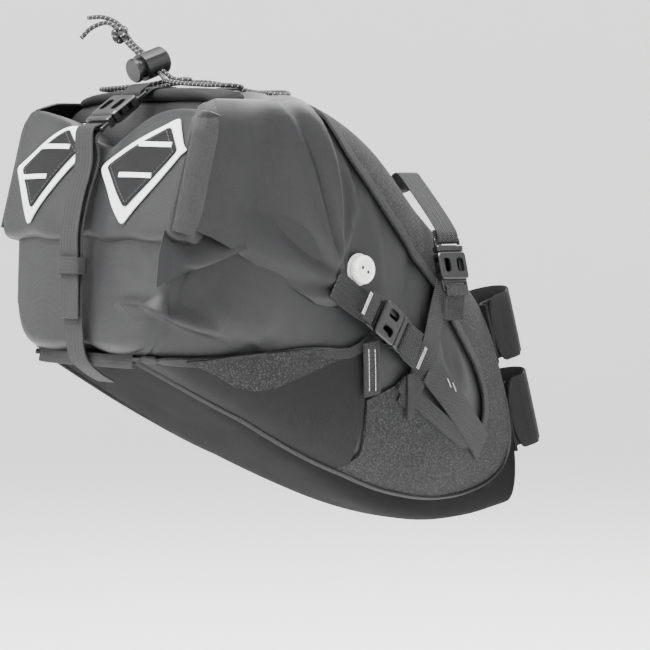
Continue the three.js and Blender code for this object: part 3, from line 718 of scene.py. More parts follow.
class SaddleBagColours(bpy.types.PropertyGroup):
    coated: bpy.props.FloatVectorProperty(
        name="Dry bag", description="Coated fabric",
        default=(0.0125, 0.0126, 0.0132), subtype="COLOR")
    harness: bpy.props.FloatVectorProperty(
        name="Harness", description="Smooth harness fabric",
        default=(0.0085, 0.0085, 0.009), subtype="COLOR")
    rough: bpy.props.FloatVectorProperty(
        name="Packcloth", description="Coarse packcloth",
        default=(0.015, 0.015, 0.0156), subtype="COLOR")
    webbing: bpy.props.FloatVectorProperty(
        name="Webbing", description="Straps", default=(0.0085, 0.0085, 0.0088), subtype="COLOR")
    plastic: bpy.props.FloatVectorProperty(
        name="Buckles", description="Moulded parts",
        default=(0.006, 0.006, 0.0064), subtype="COLOR")
    pale: bpy.props.FloatVectorProperty(
        name="Reflective", description="Reflective borders",
        default=(0.74, 0.75, 0.76), subtype="COLOR")
    white: bpy.props.FloatVectorProperty(
        name="Valve", description="Air valve", default=(0.82, 0.82, 0.80), subtype="COLOR")


MATERIALS = {}


def palette():
    """The finishes, made once from the colours in the sidebar."""
    if MATERIALS:
        return MATERIALS
    c = bpy.context.scene.saddle_bag_colours
    MATERIALS.update(
        dry_bag=coated_fabric("Coated fabric", tuple(c.coated), 0.44, 0.0011, 0.3),
        harness=coated_fabric("Harness fabric", tuple(c.harness), 0.66, 0.0014, 0.15),
        # The keel is a darker copy of the harness fabric, with less gloss: painted shade on the bag's
        # underside.
        keel=coated_fabric("Shaded keel fabric", shade(tuple(c.harness), 0.6), 0.78, 0.0014, 0.05),
        rough=packcloth("Packcloth", tuple(c.rough)),
        webbing=webbing_weave("Webbing", tuple(c.webbing)),
        binding=webbing_weave("Binding tape", tuple(c.webbing), 0.0011, 0.0022),
        pile=brushed_pile("Velour", tuple(c.webbing)),
        loops=loop_tape("Loop tape", tuple(c.webbing)),
        plastic=moulded_plastic("Acetal", tuple(c.plastic)),
        white=moulded_plastic("Valve plastic", tuple(c.white), 0.38),
        pale=reflective_print("Reflective film", tuple(c.pale)),
        grain=pebble_grain("Grained facing", tuple(c.coated)),
        black_thread=thread("Dark thread", (0.05, 0.05, 0.052)),
        white_thread=thread("Pale thread", (0.62, 0.62, 0.60)),
        cord=braided_cord("Shock cord", (0.014, 0.014, 0.015), (0.55, 0.55, 0.54)),
        floor=pale_floor("Pale floor", (0.9, 0.9, 0.9)),
    )
    return MATERIALS


# ------------------------------------------------------------------ dry bag
ROLL_TILT = math.radians(15)
ROLL_UP = np.array([math.sin(ROLL_TILT), 0, math.cos(ROLL_TILT)])
ROLL_IN = np.array([math.cos(ROLL_TILT), 0, -math.sin(ROLL_TILT)])
ROLL_AT = np.array([-298.5, 0, 92.0])
ROLL_HALF = 101.0
ROLL_ROUND = 5.0


def roll_world(x, y, z):
    """Places in the roll's axes, with x into the bag and z up the roll."""
    x, y, z = np.broadcast_arrays(*(np.asarray(v, float) for v in (x, y, z)))
    p = ROLL_AT + x[..., None] * ROLL_IN + z[..., None] * ROLL_UP
    p[..., 1] = y
    return p


def roll_shape(y):
    """The roll's depth, lower edge and upper edge at a place across the bag."""
    y = np.asarray(y, float)
    pinch = np.exp(-((y / 15) ** 2))
    depth = 29.5 - 3.0 * pinch + 3.5 * np.exp(-(((np.abs(y) - 45) / 30) ** 2))
    top = 84 - 24 * np.exp(-((y / 44) ** 2)) + 1.2 * np.sin(y / 13.0)
    low = -1.5 - 1.5 * np.exp(-(((np.abs(y) - 50) / 30) ** 2)) + 1.2 * np.sin(y / 9.0 + 1)
    return depth, low, top


def roll_rear(y, z):
    """Where the roll's rear face is in its own axes."""
    depth, low, top = roll_shape(y)
    v = np.clip((z - (low + top) / 2) / ((top - low) / 2), -0.995, 0.995)
    end = np.clip((np.abs(y) - (ROLL_HALF - ROLL_ROUND)) / ROLL_ROUND, 0, 1)
    half = depth / 2 * np.sqrt(np.clip(1 - end**2, 0, 1) * 0.86 + 0.14)
    ripple = 0.8 * np.sin(y / 7.5 + z / 13) * np.exp(-((np.abs(y) / 34) ** 2))
    return -1 - depth / 2 - half * (1 - np.abs(v) ** 4.6) ** (1 / 4.6) - ripple


def build_dry_bag_body():
    around, rear, length, front = 220, 30, 170, 14
    total = rear + length + front
    radius = 7.0

    def place(s, t):
        i = np.rint(t * total)
        angle = 2 * math.pi * s + math.pi / 5
        u = np.clip((i - rear) / length, 0, 1) * LAST
        p = skin(u, angle, np.zeros_like(angle))
        middle, up, *_rest = section_at(u)
        centre = np.stack([middle[:, 0], np.zeros_like(angle), middle[:, 1]], -1)
        axis = np.stack([up[:, 1], np.zeros_like(angle), -up[:, 0]], -1)
        back = np.clip((rear - i) / rear, 0, 1)
        turn = np.clip(back / 0.4, 0, 1) * math.pi / 2
        flat = np.clip((back - 0.4) / 0.6, 0, 1)
        k = (1 - radius / 90 * (1 - np.cos(turn))) * (1 - flat)
        k = np.where(back > 0, k, 1)
        shift = np.where(back > 0, radius - radius * np.sin(turn) - 2.4 * (1 - (1 - flat) ** 2), 0)
        near_rear = np.clip((0.5 - u) / 0.5, 0, 1) * (back <= 0)
        shift = shift + near_rear * radius
        ahead = np.clip((i - rear - length) / front, 0, 1)
        k = np.where(ahead > 0, 1 - ahead, k)
        p = centre + (p - centre) * k[:, None] + axis * shift[:, None]
        seat = (p - ROLL_AT) @ ROLL_IN
        rise = (p - ROLL_AT) @ ROLL_UP
        behind = (rise > 5) & (seat < 0)
        return p - np.where(behind, seat, 0)[:, None] * ROLL_IN

    piece = close(grid("dry_bag", around, total, place), merge=0.0002)
    mesh = piece.data
    co = np.empty(len(mesh.vertices) * 3)
    no = np.empty(len(mesh.vertices) * 3)
    mesh.vertices.foreach_get("co", co)
    mesh.vertices.foreach_get("normal", no)
    co, no = co.reshape(-1, 3) / MM, no.reshape(-1, 3)
    x, y, z = co.T
    lift = fold_height(x, y, z)
    dent = -3.2 * np.exp(-((y / 12) ** 2)) * (x < -318)
    dent = dent + 2.2 * np.exp(-(((np.abs(y) - 45) / 32) ** 2)) * (x < -318)
    seat = (co - ROLL_AT) @ ROLL_IN
    free = ~(((co - ROLL_AT) @ ROLL_UP > 3) & (seat < 1.5))
    co = co + no * ((lift + dent) * free)[:, None]
    mesh.vertices.foreach_set("co", (co * MM).ravel())
    mesh.update()
    return piece


def build_roll():
    around, across = 96, 150

    def place(s, t):
        y = (2 * t - 1) * ROLL_HALF
        a = 2 * math.pi * s
        depth, low, top = roll_shape(y)
        v = np.sign(np.sin(a)) * np.abs(np.sin(a)) ** (2 / 4.6)
        z = (low + top) / 2 + (top - low) / 2 * v
        end = np.clip((np.abs(y) - (ROLL_HALF - ROLL_ROUND)) / ROLL_ROUND, 0, 1)
        shrink = np.sqrt(np.clip(1 - end**2, 0, 1) * 0.86 + 0.14)
        rear = roll_rear(y, z)
        inner = -1 - (depth / 2) * (1 - shrink * np.clip(1 - np.abs(v) ** 4.6, 0, 1) ** (1 / 4.6))
        x = np.where(np.cos(a) < 0, rear, inner)
        z = (low + top) / 2 + (z - (low + top) / 2) * (0.96 + 0.04 * shrink)
        return roll_world(x, y, z)

    return close(grid("rolled_closure", around, across, place), merge=0.00008)


WING = (
    (-325, 103), (-307.5, 172), (-298, 181), (-280, 186), (-258, 189), (-234, 188), (-212, 182),
    (-196, 160), (-186, 132), (-182, 100), (-185, 72), (-193, 52), (-212, 56), (-240, 70),
    (-269, 86), (-296, 98), (-318, 106),
)
ROLL_EDGE = (
    (-325, 103), (-307.5, 172), (-301, 180), (-289, 184), (-293, 160), (-305, 112), (-311, 99),
)


def wing_place(x, z, side, out):
    """The drawn sheet: round the end of the roll, then along the side of the bag."""
    p, _n = on_skin(x, np.minimum(z, 184), side, 2.0 + out)
    seat = (x - ROLL_AT[0]) * ROLL_IN[0] + (z - ROLL_AT[2]) * ROLL_IN[2]
    depth = np.clip((-15.75 - seat) / 14.75, 0, 1) ** 2
    rounded = ROLL_ROUND * (1 - np.sqrt(np.clip(1 - (depth - 0.14) / 0.86, 0, 1)))
    corner = ROLL_HALF - rounded + 0.6 + out + 1.0 * np.clip((seat + 26) / 14, 0, 1)
    corner = corner - 15.0 * np.clip((z - 162) / 26, 0, 1) ** 2
    near = np.clip((34 - seat) / 34, 0, 1)
    near = near * near * (3 - 2 * near)
    y = (1 - near) * np.abs(p[..., 1]) + near * corner
    fan = np.arctan2(z - 56, -(x + 170))
    gather = np.clip((x + 268) / 60, 0, 1) * np.clip((-184 - x) / 12, 0, 1)
    y = y + 1.3 * np.sin(fan * 17) * gather
    p[..., 1] = side * y
    return p


def side_sheet(name, outline, bounds, count, place, thickness):
    """A sheet over a region of the side view, its edge brought to the outline."""
    x0, x1, z0, z1 = bounds
    piece = grid(name, count[0], count[1],
                 lambda s, t: place(x0 + (x1 - x0) * s, z0 + (z1 - z0) * t))
    mesh = piece.data
    s, t = [v.ravel() for v in np.meshgrid(np.arange(count[0] + 1) / count[0],
                                           np.arange(count[1] + 1) / count[1])]
    x, z = x0 + (x1 - x0) * s, z0 + (z1 - z0) * t
    outside = ~in_outline(outline, x, z)
    bx, bz = nearest_on_outline(outline, x, z)
    p = place(np.where(outside, bx, x), np.where(outside, bz, z))
    shell = bmesh.new()
    shell.from_mesh(mesh)
    shell.faces.ensure_lookup_table()
    gone = [f for f in shell.faces if all(outside[v.index] for v in f.verts)]
    for v in shell.verts:
        v.co = Vector(p[v.index] * MM)
    bmesh.ops.delete(shell, geom=gone, context="FACES")
    shell.to_mesh(mesh)
    shell.free()
    return thicken(piece, thickness)


def build_wing(side, word):
    """One end of the roll, drawn forward along the bag to its webbing."""
    return side_sheet(f"roll_wing_{word}", WING, (-330, -176, 46, 194), (190, 160),
                      lambda x, z: wing_place(x, z, side, 0.0), 1.2)


FLAP = (
    (-334, 70), (-322, 75), (-305, 80), (-288, 85), (-268, 91), (-282, 97), (-300, 101), (-325, 104),
    (-331, 88),
)


def build_flap(side, word):
    """The fold of the bag's gusset that hangs out below the rolled closure."""
    def place(x, z):
        p, n = on_skin(x, z, side, 1.4)
        low = 70 + (x + 334) * 0.318
        hang = np.clip((104 - 0.1 * (x + 325) - z) / (104 - 0.1 * (x + 325) - low + 1e-6), 0, 1.1)
        stand = 8.5 * hang**1.4 * np.clip((-262 - x) / 40, 0, 1) ** 0.7
        return p + n * stand[..., None]

    return side_sheet(f"gusset_fold_{word}", FLAP, (-337, -264, 66, 108), (110, 64), place, 1.0)


class SADDLEBAG_OT_dry_bag(bpy.types.Operator):
    """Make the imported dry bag, its rolled closure and the roll's two drawn ends"""
    bl_idname = "saddle_bag.dry_bag"
    bl_label = "Dry bag"

    def execute(self, context):
        m = palette()
        finish_piece(build_dry_bag_body(), "bag", "coated_fabric", m["dry_bag"], "dry_bag_body")
        finish_piece(build_roll(), "bag", "coated_fabric", m["dry_bag"], "roll_top")
        for side, word in SIDES:
            piece = build_wing(side, word)
            finish_piece(piece, "bag", "coated_fabric", m["dry_bag"], f"roll_wing_{word}")
            if side < 0:
                finish_piece(build_flap(side, word), "bag", "coated_fabric", m["dry_bag"])
            band = side_sheet(f"roll_end_facing_{word}", ROLL_EDGE, (-330, -284, 94, 190), (60, 110),
                              lambda x, z: wing_place(x, z, side, 0.9), 0.5)
            finish_piece(band, "bag", "coated_fabric", m["grain"])
        return {"FINISHED"}


# ------------------------------------------------------------------ lash patches
# Both patches lean the same way. The corners are given towards -Y, then for the patch on +Y.
BORDERS = (
    ((10, 43), (86, 75), (99.5, 54), (51, 5)),
    ((90, 43), (30, 75), (9, 58), (60, 4)),
)
INNERS = (
    ((22, 43), (81, 68.5), (93, 53.5), (53, 16)),
    ((80, 42), (35, 68), (18, 55), (57, 15)),
)
SLOTS = {
    "right": ((56, 88, 57), (41, 74, 37)),
    "left": ((26, 58, 56), (44, 76, 36)),
}


def quad(corners, s, t, side):
    (y0, z0), (y1, z1), (y2, z2), (y3, z3) = corners
    y = (1 - s) * ((1 - t) * y3 + t * y0) + s * ((1 - t) * y2 + t * y1)
    z = (1 - s) * ((1 - t) * z3 + t * z0) + s * ((1 - t) * z2 + t * z1)
    return y * side, z


def rounded(s, t, radius=0.12):
    """Pulls the corners of a unit square in to a radius."""
    a, b = np.abs(2 * s - 1), np.abs(2 * t - 1)
    ca, cb = np.clip((a - 1 + radius) / radius, 0, 1), np.clip((b - 1 + radius) / radius, 0, 1)
    far = np.sqrt(ca**2 + cb**2)
    most = np.maximum(np.maximum(ca, cb), 1e-6)
    k = np.where(far > 0, most / np.maximum(far, 1e-6), 1)
    a = np.where(ca > 0, 1 - radius + ca * k * radius, a)
    b = np.where(cb > 0, 1 - radius + cb * k * radius, b)
    return 0.5 + np.sign(s - 0.5) * a / 2, 0.5 + np.sign(t - 0.5) * b / 2


def on_roll(corners, out, side):
    def place(s, t):
        s, t = rounded(s, t)
        y, z = quad(corners, s, t, side)
        return roll_world(roll_rear(y, z) - out, y, z)
    return place


def rows_on_roll(corners, out, side, inset):
    """A closed run of places just inside a patch's edge."""
    a, b = inset, 1 - inset
    loop = [(a, a), (0.5, a), (b, a), (b, 0.5), (b, b), (0.5, b), (a, b), (a, 0.5), (a, a)]
    s, t = np.array([p for k in range(8) for p in np.linspace(loop[k], loop[k + 1], 12)]).T
    y, z = quad(corners, s, t, side)
    return roll_world(roll_rear(y, z) - out, y, z), np.tile(-ROLL_IN, (len(y), 1))


class SADDLEBAG_OT_lash_patches(bpy.types.Operator):
    """Make the two slotted patches with pale borders on the roll's rear face"""
    bl_idname = "saddle_bag.lash_patches"
    bl_label = "Lash patches"

    def execute(self, context):
        m = palette()
        for (side, word), outer, inside in zip(SIDES, BORDERS, INNERS):
            border = grid(f"patch_border_{word}", 54, 40, on_roll(outer, 1.2, side))
            thicken(border, 0.9)
            finish_piece(border, "bag", "reflective", m["pale"], f"lash_border_{word}")
            inner = grid(f"patch_{word}", 54, 40, on_roll(inside, 2.3, side))
            thicken(inner, 1.4)
            finish_piece(inner, "bag", "lash_fabric", m["harness"], f"lash_patch_{word}")
            rows = [rows_on_roll(inside, 3.1, side, 0.05)]
            threads = stitch_row(f"patch_stitching_{word}", rows, (2.2, 0.4), 3.2)
            finish_piece(threads, "bag", "lash_fabric", m["black_thread"])
            dashes = []
            for start, stop, high in SLOTS[word]:
                y, z = side * np.linspace(start, stop, 14), np.full(14, high)
                dashes.append((roll_world(roll_rear(y, z) - 3.3, y, z), np.tile(-ROLL_IN, (14, 1))))
            for number, (line, out) in enumerate(dashes):
                dash = tape(f"patch_slot_{word}_{number}", line, out, 3.2, 0.7)
                finish_piece(dash, "bag", "reflective", m["pale"])
        return {"FINISHED"}


# ------------------------------------------------------------------ harness
SEAM_X = (-340, -313, -246, -162, -107, -66, -8, 40)
SEAM_Y = (50, 51, 60, 55, 48, 42, 30, 24)
RIM_X = (-330, -313, -295, -278, -257, -236, -218, -203, -192, -182, -172, -163, -150)
RIM_Z = (26, 23.5, 22.4, 22, 23, 24.6, 25.6, 25.4, 24.2, 24, 27, 32.5, 35)
WINDOW = (
    (-194, 176), (-180, 154), (-160, 130), (-138, 106), (-112, 81), (-90, 61), (-70, 37),
    (-55, 22), (-45, 11), (-38, -2), (-35, -14), (-36, -27), (-42, -37), (-50, -42.5),
    (-60, -42), (-72, -38), (-116, -13), (-136, 1), (-162, -8), (-157, -44), (-210, -90),
    (-290, 60), (-290, 230), (-206, 230),
)
FACING = (
    (-300, 20.5), (-278, 11.5), (-264, 4), (-250, 1), (-238, 2), (-219, 9), (-200, 16),
    (-180, 21.5), (-186, 25), (-199, 26), (-218, 26.4), (-236, 25.4), (-257, 23.8), (-278, 22.8),
)


def angle_for(u, wanted, low, high):
    """The angle at each u where wanted(place) turns from negative to positive."""
    low, high = np.full_like(u, low), np.full_like(u, high)
    for _ in range(22):
        middle = (low + high) / 2
        past = wanted(skin(u, middle, np.zeros_like(u))) > 0
        low, high = np.where(past, low, middle), np.where(past, middle, high)
    return (low + high) / 2


def seam_angle(u):
    return angle_for(u, lambda p: p[:, 1] - np.interp(p[:, 0], SEAM_X, SEAM_Y), -math.pi / 2, 0.0)


def rim_angle(u):
    return angle_for(u, lambda p: p[:, 2] - np.interp(p[:, 0], RIM_X, RIM_Z), -math.pi / 2, 0.9)


def harness_sheet(name, u0, u1, start, stop, out, nu, nv, cap=0):
    """A harness panel between two angles that vary along the bag."""
    def place(s, t):
        i = s * (nu + cap)
        u = u0 + (u1 - u0) * np.clip(i / nu, 0, 1)
        angle = start(u) + (stop(u) - start(u)) * t
        p = skin(u, angle, np.full_like(u, out))
        lift = fold_height(p[:, 0], p[:, 1], p[:, 2]) * 0.6
        p[:, 1] += np.sign(p[:, 1]) * lift * (np.abs(p[:, 1]) > 30)
        if cap:
            middle, up, *_r = section_at(u)
            centre = np.stack([middle[:, 0], np.zeros_like(u), middle[:, 1]], -1)
            axis = np.stack([up[:, 1], np.zeros_like(u), -up[:, 0]], -1)
            k = np.clip((i - nu) / cap, 0, 1)
            round_out = np.where(k > 0, out, out * np.clip((u - 6.6) / 0.4, 0, 1))
            p = centre + (p - centre) * (1 - k)[:, None] + axis * round_out[:, None]
        return p
    return grid(name, nu + cap, nv, place)


class SADDLEBAG_OT_harness(bpy.types.Operator):
    """Make the harness's sewn panels and the tapes that bind their edges"""
    bl_idname = "saddle_bag.harness"
    bl_label = "Harness"

    def execute(self, context):
        m = palette()
        thick = context.scene.saddle_bag_sizes.panel / MM
        mirror = lambda f: (lambda u: math.pi - f(u))
        floor = harness_sheet("harness_floor_fabric", 0.24, LAST, lambda u: -math.pi - seam_angle(u),
                              seam_angle, 1.5, 150, 60, 8)
        thicken(floor, thick)
        finish_piece(floor, "bag", "harness_floor", m["keel"], "harness_floor")
        for side, word in SIDES:
            start, stop = seam_angle, rim_angle
            if side < 0:
                start, stop = mirror(seam_angle), mirror(rim_angle)
            wall = harness_sheet(f"harness_wall_{word}", 0.3, 3.3, start, stop, 1.5, 110, 30)
            thicken(wall, thick)
            finish_piece(wall, "bag", "harness_coated", m["harness"], f"harness_side_{word}")
            facing = side_sheet(f"rim_facing_{word}", FACING, (-304, -176, -2, 30), (130, 40),
                                lambda x, z: on_skin(x, z, side, 3.6)[0] * [1, 1, 1], 1.0)
            finish_piece(facing, "bag", "packcloth", m["rough"])
        nose = harness_sheet("harness_nose_fabric", 2.5, LAST, seam_angle, mirror(seam_angle), 1.5,
                             170, 230, 10)
        keep_inside(nose, lambda x, y, z: ~in_outline(WINDOW, x, z))
        snap_to_window(nose)
        thicken(nose, thick)
        finish_piece(nose, "bag", "packcloth", m["rough"], "harness_nose")
        for side, word in SIDES:
            self.bind(side, word, m)
        return {"FINISHED"}

    def bind(self, side, word, m):
        sill = spline([(-134, 2), (-116, -10), (-72, -34.5), (-60, -38.5), (-50, -39)], 2.0)
        p, n = on_skin(sill[:, 0], sill[:, 1], side, 3.4)
        piece = tape(f"window_sill_{word}", p, n, 11, 1.8)
        finish_piece(piece, "bag", "webbing", m["webbing"])
        u = np.full(34, 0.27)
        top = rim_angle(u)
        angle = -math.pi / 2 + (top + math.pi / 2) * np.linspace(0, 1, 34) ** 0.8
        rear = skin(u, angle, np.full_like(u, 4.2))
        rear[:, 1] *= side
        middle, up, *_r = section_at(u)
        n = np.stack([-up[:, 1], np.zeros_like(u), up[:, 0]], -1)
        piece = tape(f"rear_binding_{word}", rear + 0.5 * n, n, 8.5, 2.4)
        finish_piece(piece, "bag", "webbing", m["binding"])
        edge = spline(WINDOW[0:18], 2.0)
        p, n = on_skin(edge[:, 0], edge[:, 1], side, 2.6)
        piece = tape(f"window_binding_{word}", p, n, 6.5, 2.2)
        finish_piece(piece, "bag", "webbing", m["binding"])
        u = np.linspace(0.24, 3.3, 130)
        rim = skin(u, rim_angle(u), np.full_like(u, 2.6))
        rim[:, 1] *= side
        _p, n = on_skin(rim[:, 0], rim[:, 2], side, 2.6)
        piece = tape(f"wall_binding_{word}", rim, n, 7, 2.2)
        finish_piece(piece, "bag", "webbing", m["binding"])
        u = np.linspace(0.26, LAST, 200)
        seam = skin(u, seam_angle(u), np.full_like(u, 2.9))
        seam[:, 1] *= side
        middle, up, *_r = section_at(u)
        n = seam - np.stack([middle[:, 0], np.zeros_like(u), middle[:, 1]], -1)
        piece = tape(f"floor_piping_{word}", seam, n / np.linalg.norm(n, axis=1)[:, None], 3.4, 1.6)
        finish_piece(piece, "bag", "webbing", m["binding"])


def snap_to_window(piece):
    mesh = piece.data
    co = np.empty(len(mesh.vertices) * 3)
    mesh.vertices.foreach_get("co", co)
    co = co.reshape(-1, 3) / MM
    x, y, z = co.T
    inside = in_outline(WINDOW, x, z)
    bx, bz = nearest_on_outline(WINDOW, x, z)
    side = np.sign(y)
    p, _n = on_skin(bx, bz, 1, 1.5)
    p[:, 1] *= side
    co = np.where(inside[:, None], p, co)
    mesh.vertices.foreach_set("co", (co * MM).ravel())
    mesh.update()


# ------------------------------------------------------------------ padding
def puff(piece, voxel, pressure, cap):
    """Swells a padded piece by a short cloth simulation and keeps every point within cap."""
    select(piece)
    piece.data.remesh_voxel_size = voxel * MM
    bpy.ops.object.voxel_remesh()
    before = np.empty(len(piece.data.vertices) * 3)
    piece.data.vertices.foreach_get("co", before)
    cloth = piece.modifiers.new("Cloth", "CLOTH")
    cloth.settings.quality = 6
    cloth.settings.use_pressure = True
    cloth.settings.uniform_pressure_force = pressure
    cloth.settings.effector_weights.gravity = 0
    scene = bpy.context.scene
    for number in range(1, 15):
        scene.frame_set(number)
    bpy.ops.object.modifier_apply(modifier=cloth.name)
    scene.frame_set(1)
    after = np.empty(len(piece.data.vertices) * 3)
    piece.data.vertices.foreach_get("co", after)
    move = (after - before).reshape(-1, 3)
    far = np.linalg.norm(move, axis=1)[:, None]
    move *= np.minimum(1, cap * MM / np.maximum(far, 1e-9))
    piece.data.vertices.foreach_set("co", (before.reshape(-1, 3) + move).ravel())
    modify(piece, "SUBSURF", levels=1, render_levels=1)
    return close(piece, merge=0.00001, fill=False)


class SADDLEBAG_OT_padding(bpy.types.Operator):
    """Make the padded bar across the top and the pad that leans on the seatpost"""
    bl_idname = "saddle_bag.padding"
    bl_label = "Padding"

    def execute(self, context):
        m = palette()

        def bar_place(s, t):
            y = (2 * t - 1) * 81
            a = 2 * math.pi * s
            rise = 186.4 - 2.2 * (y / 81) ** 2 - 4.5 * np.clip(np.abs(y) / 81, 0, 1) ** 8
            end = np.sqrt(np.clip(1 - np.clip((np.abs(y) - 76) / 5, 0, 1) ** 2, 0.05, 1))
            dx = 12.5 * np.sign(np.cos(a)) * np.abs(np.cos(a)) ** 0.5 * end
            dz = 3.0 * np.sign(np.sin(a)) * np.abs(np.sin(a)) ** 0.6 * end
            return np.stack([-266 + dx, y, rise + 2.6 + dz + 0.07 * dx], -1)

        bar = close(grid("top_bar_pad", 40, 90, bar_place), merge=0.0001)
        puff(bar, 2.2, 2.0, 1.2)
        finish_piece(bar, "bag", "padding", m["pile"], "top_bar")
        lean = SEAT_ANGLE
        ahead = np.array([math.cos(lean), 0, math.sin(lean)])
        rise = np.array([-math.sin(lean), 0, math.cos(lean)])

        def pad_place(s, t):
            h = -71.2 + 130.4 * t
            a = 2 * math.pi * s
            end = np.sqrt(np.clip(1 - np.clip((np.abs(h + 6) - 61) / 4.4, 0, 1) ** 2, 0.05, 1))
            across = 12 * np.sign(np.cos(a)) * np.abs(np.cos(a)) ** 0.45 * end
            deep = -3.05 + 2.8 * np.sign(np.sin(a)) * np.abs(np.sin(a)) ** 0.5 * end
            p = deep[:, None] * ahead + h[:, None] * rise
            p[:, 1] = across
            return p

        pad = close(grid("seatpost_cushion", 40, 90, pad_place), merge=0.0001)
        puff(pad, 2.2, 2.0, 0.25)
        finish_piece(pad, "bag", "padding", m["pile"], "seatpost_pad")
        return {"FINISHED"}


# ------------------------------------------------------------------ straps and buckles
SOCKET_BAR, PLUG_BAR, BAR_TURN = -6.3, 31.9, 2.2  # a buckle's bars, and the webbing's turn
FIRST = 5.5  # how far the first layer of webbing stands off the form
OUT_OF_HARNESS = 2.9
SIDE_BUCKLE_AT = (-156.5, 42.0)  # x and z on the bag's side
RAIL_BUCKLE_AT = (-83.0, 74.0)
REAR_BUCKLE_AT = [-301, 0, 178.5]
RAIL = (-83, 22, 132)  # the saddle rail on the left, where its strap goes round it


def buckle_frame(middle, along, outward, scale=1.0):
    """Origin, run, width and outward directions of a buckle and its straps."""
    return {
        "at": np.asarray(middle) - np.asarray(along) * 12 * scale,
        "along": np.asarray(along),
        "out": np.asarray(outward),
        "scale": scale,
    }


def strap_place(f, x, y):
    x, y = np.asarray(x, float), np.asarray(y, float)
    return f["at"] + f["scale"] * (x[..., None] * f["along"] + y[..., None] * f["out"])


def in_strap(f, p):
    d = (np.asarray(p, float) - f["at"]) / f["scale"]
    return (float(d @ f["along"]), float(d @ f["out"]))


def hug(f, x, out):
    low, high = -40.0, 40.0
    for _ in range(24):
        t = (low + high) / 2
        p = strap_place(f, x, t)
        if abs(p[1]) > skin_y(p[0], p[2], out) + fold_height(p[0:1], p[1:2], p[2:3])[0]:
            high = t
        else:
            low = t
    return (x, low)


def arc(cx, cy, r, a, b, steps=8):
    t = np.radians(np.linspace(a, b, steps + 1))
    return [(cx + r * math.cos(v), cy + r * math.sin(v)) for v in t]


def strap_tape(name, f, path, width, thick, ends=None):
    """A length of webbing in a buckle's plane, through its path of run and height."""
    line = spline(path, 1.3)
    centre = strap_place(f, line[:, 0], line[:, 1])
    t = np.gradient(line, axis=0)
    t /= np.linalg.norm(t, axis=1)[:, None]
    normal = -t[:, 1:2] * f["along"] + t[:, 0:1] * f["out"]
    return tape(name, centre, normal, width, thick, ends=ends)


def skin_normal(x, z, side):
    slope_x = (skin_y(x + 2, z) - skin_y(x - 2, z)) / 4
    slope_z = (skin_y(x, z + 2) - skin_y(x, z - 2)) / 4
    return unit([-float(slope_x), side, -float(slope_z)])


def side_frame(side):
    x, z = SIDE_BUCKLE_AT
    outward = skin_normal(x, z, side)
    along = np.array([0.85, 0, -0.52])
    along = unit(along - outward * (along @ outward))
    reach = float(skin_y(x, z))
    return buckle_frame(np.array([x, side * reach, z]) + outward * 10, along, outward, 0.9)


def rear_frame():
    along = unit([-0.818, 0, -0.575])
    return buckle_frame(REAR_BUCKLE_AT, along, [along[2], 0, -along[0]])


def rail_frame(side):
    x, z = RAIL_BUCKLE_AT
    slope = skin_normal(x, z, side)
    outward = unit([0, slope[1], slope[2]])
    along = np.array([0, 0, 1.0])
    along = unit(along - outward * (along @ outward))
    reach = float(skin_y(x, z))
    return buckle_frame(np.array([x, side * reach, z]) + outward * 12.8, along, outward, 0.85)


def blend_strap(piece, f, material, node, start, end):
    """Gives the strap its material, hides the node that it stands for and bakes its transform into its
    points.
    """
    piece.data.materials.clear()
    piece.data.materials.append(material)
    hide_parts(node)
    a = strap_place(f, np.array(start), np.array(0.0)) * MM
    b = strap_place(f, np.array(end), np.array(0.0)) * MM
    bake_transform(piece)


def bartack(name, f, x, y, width, count=3):
    """A dense pale bar of thread across a strap."""
    across = np.cross(f["out"], f["along"])
    rows = []
    for k in range(count):
        at = strap_place(f, np.array(x + 1.1 * k), np.array(y))
        line = at + np.linspace(-0.5, 0.5, 8)[:, None] * across * width
        rows.append((line, np.tile(f["out"], (8, 1))))
    return stitch_row(name, rows, (1.5, 0.5), 1.7)


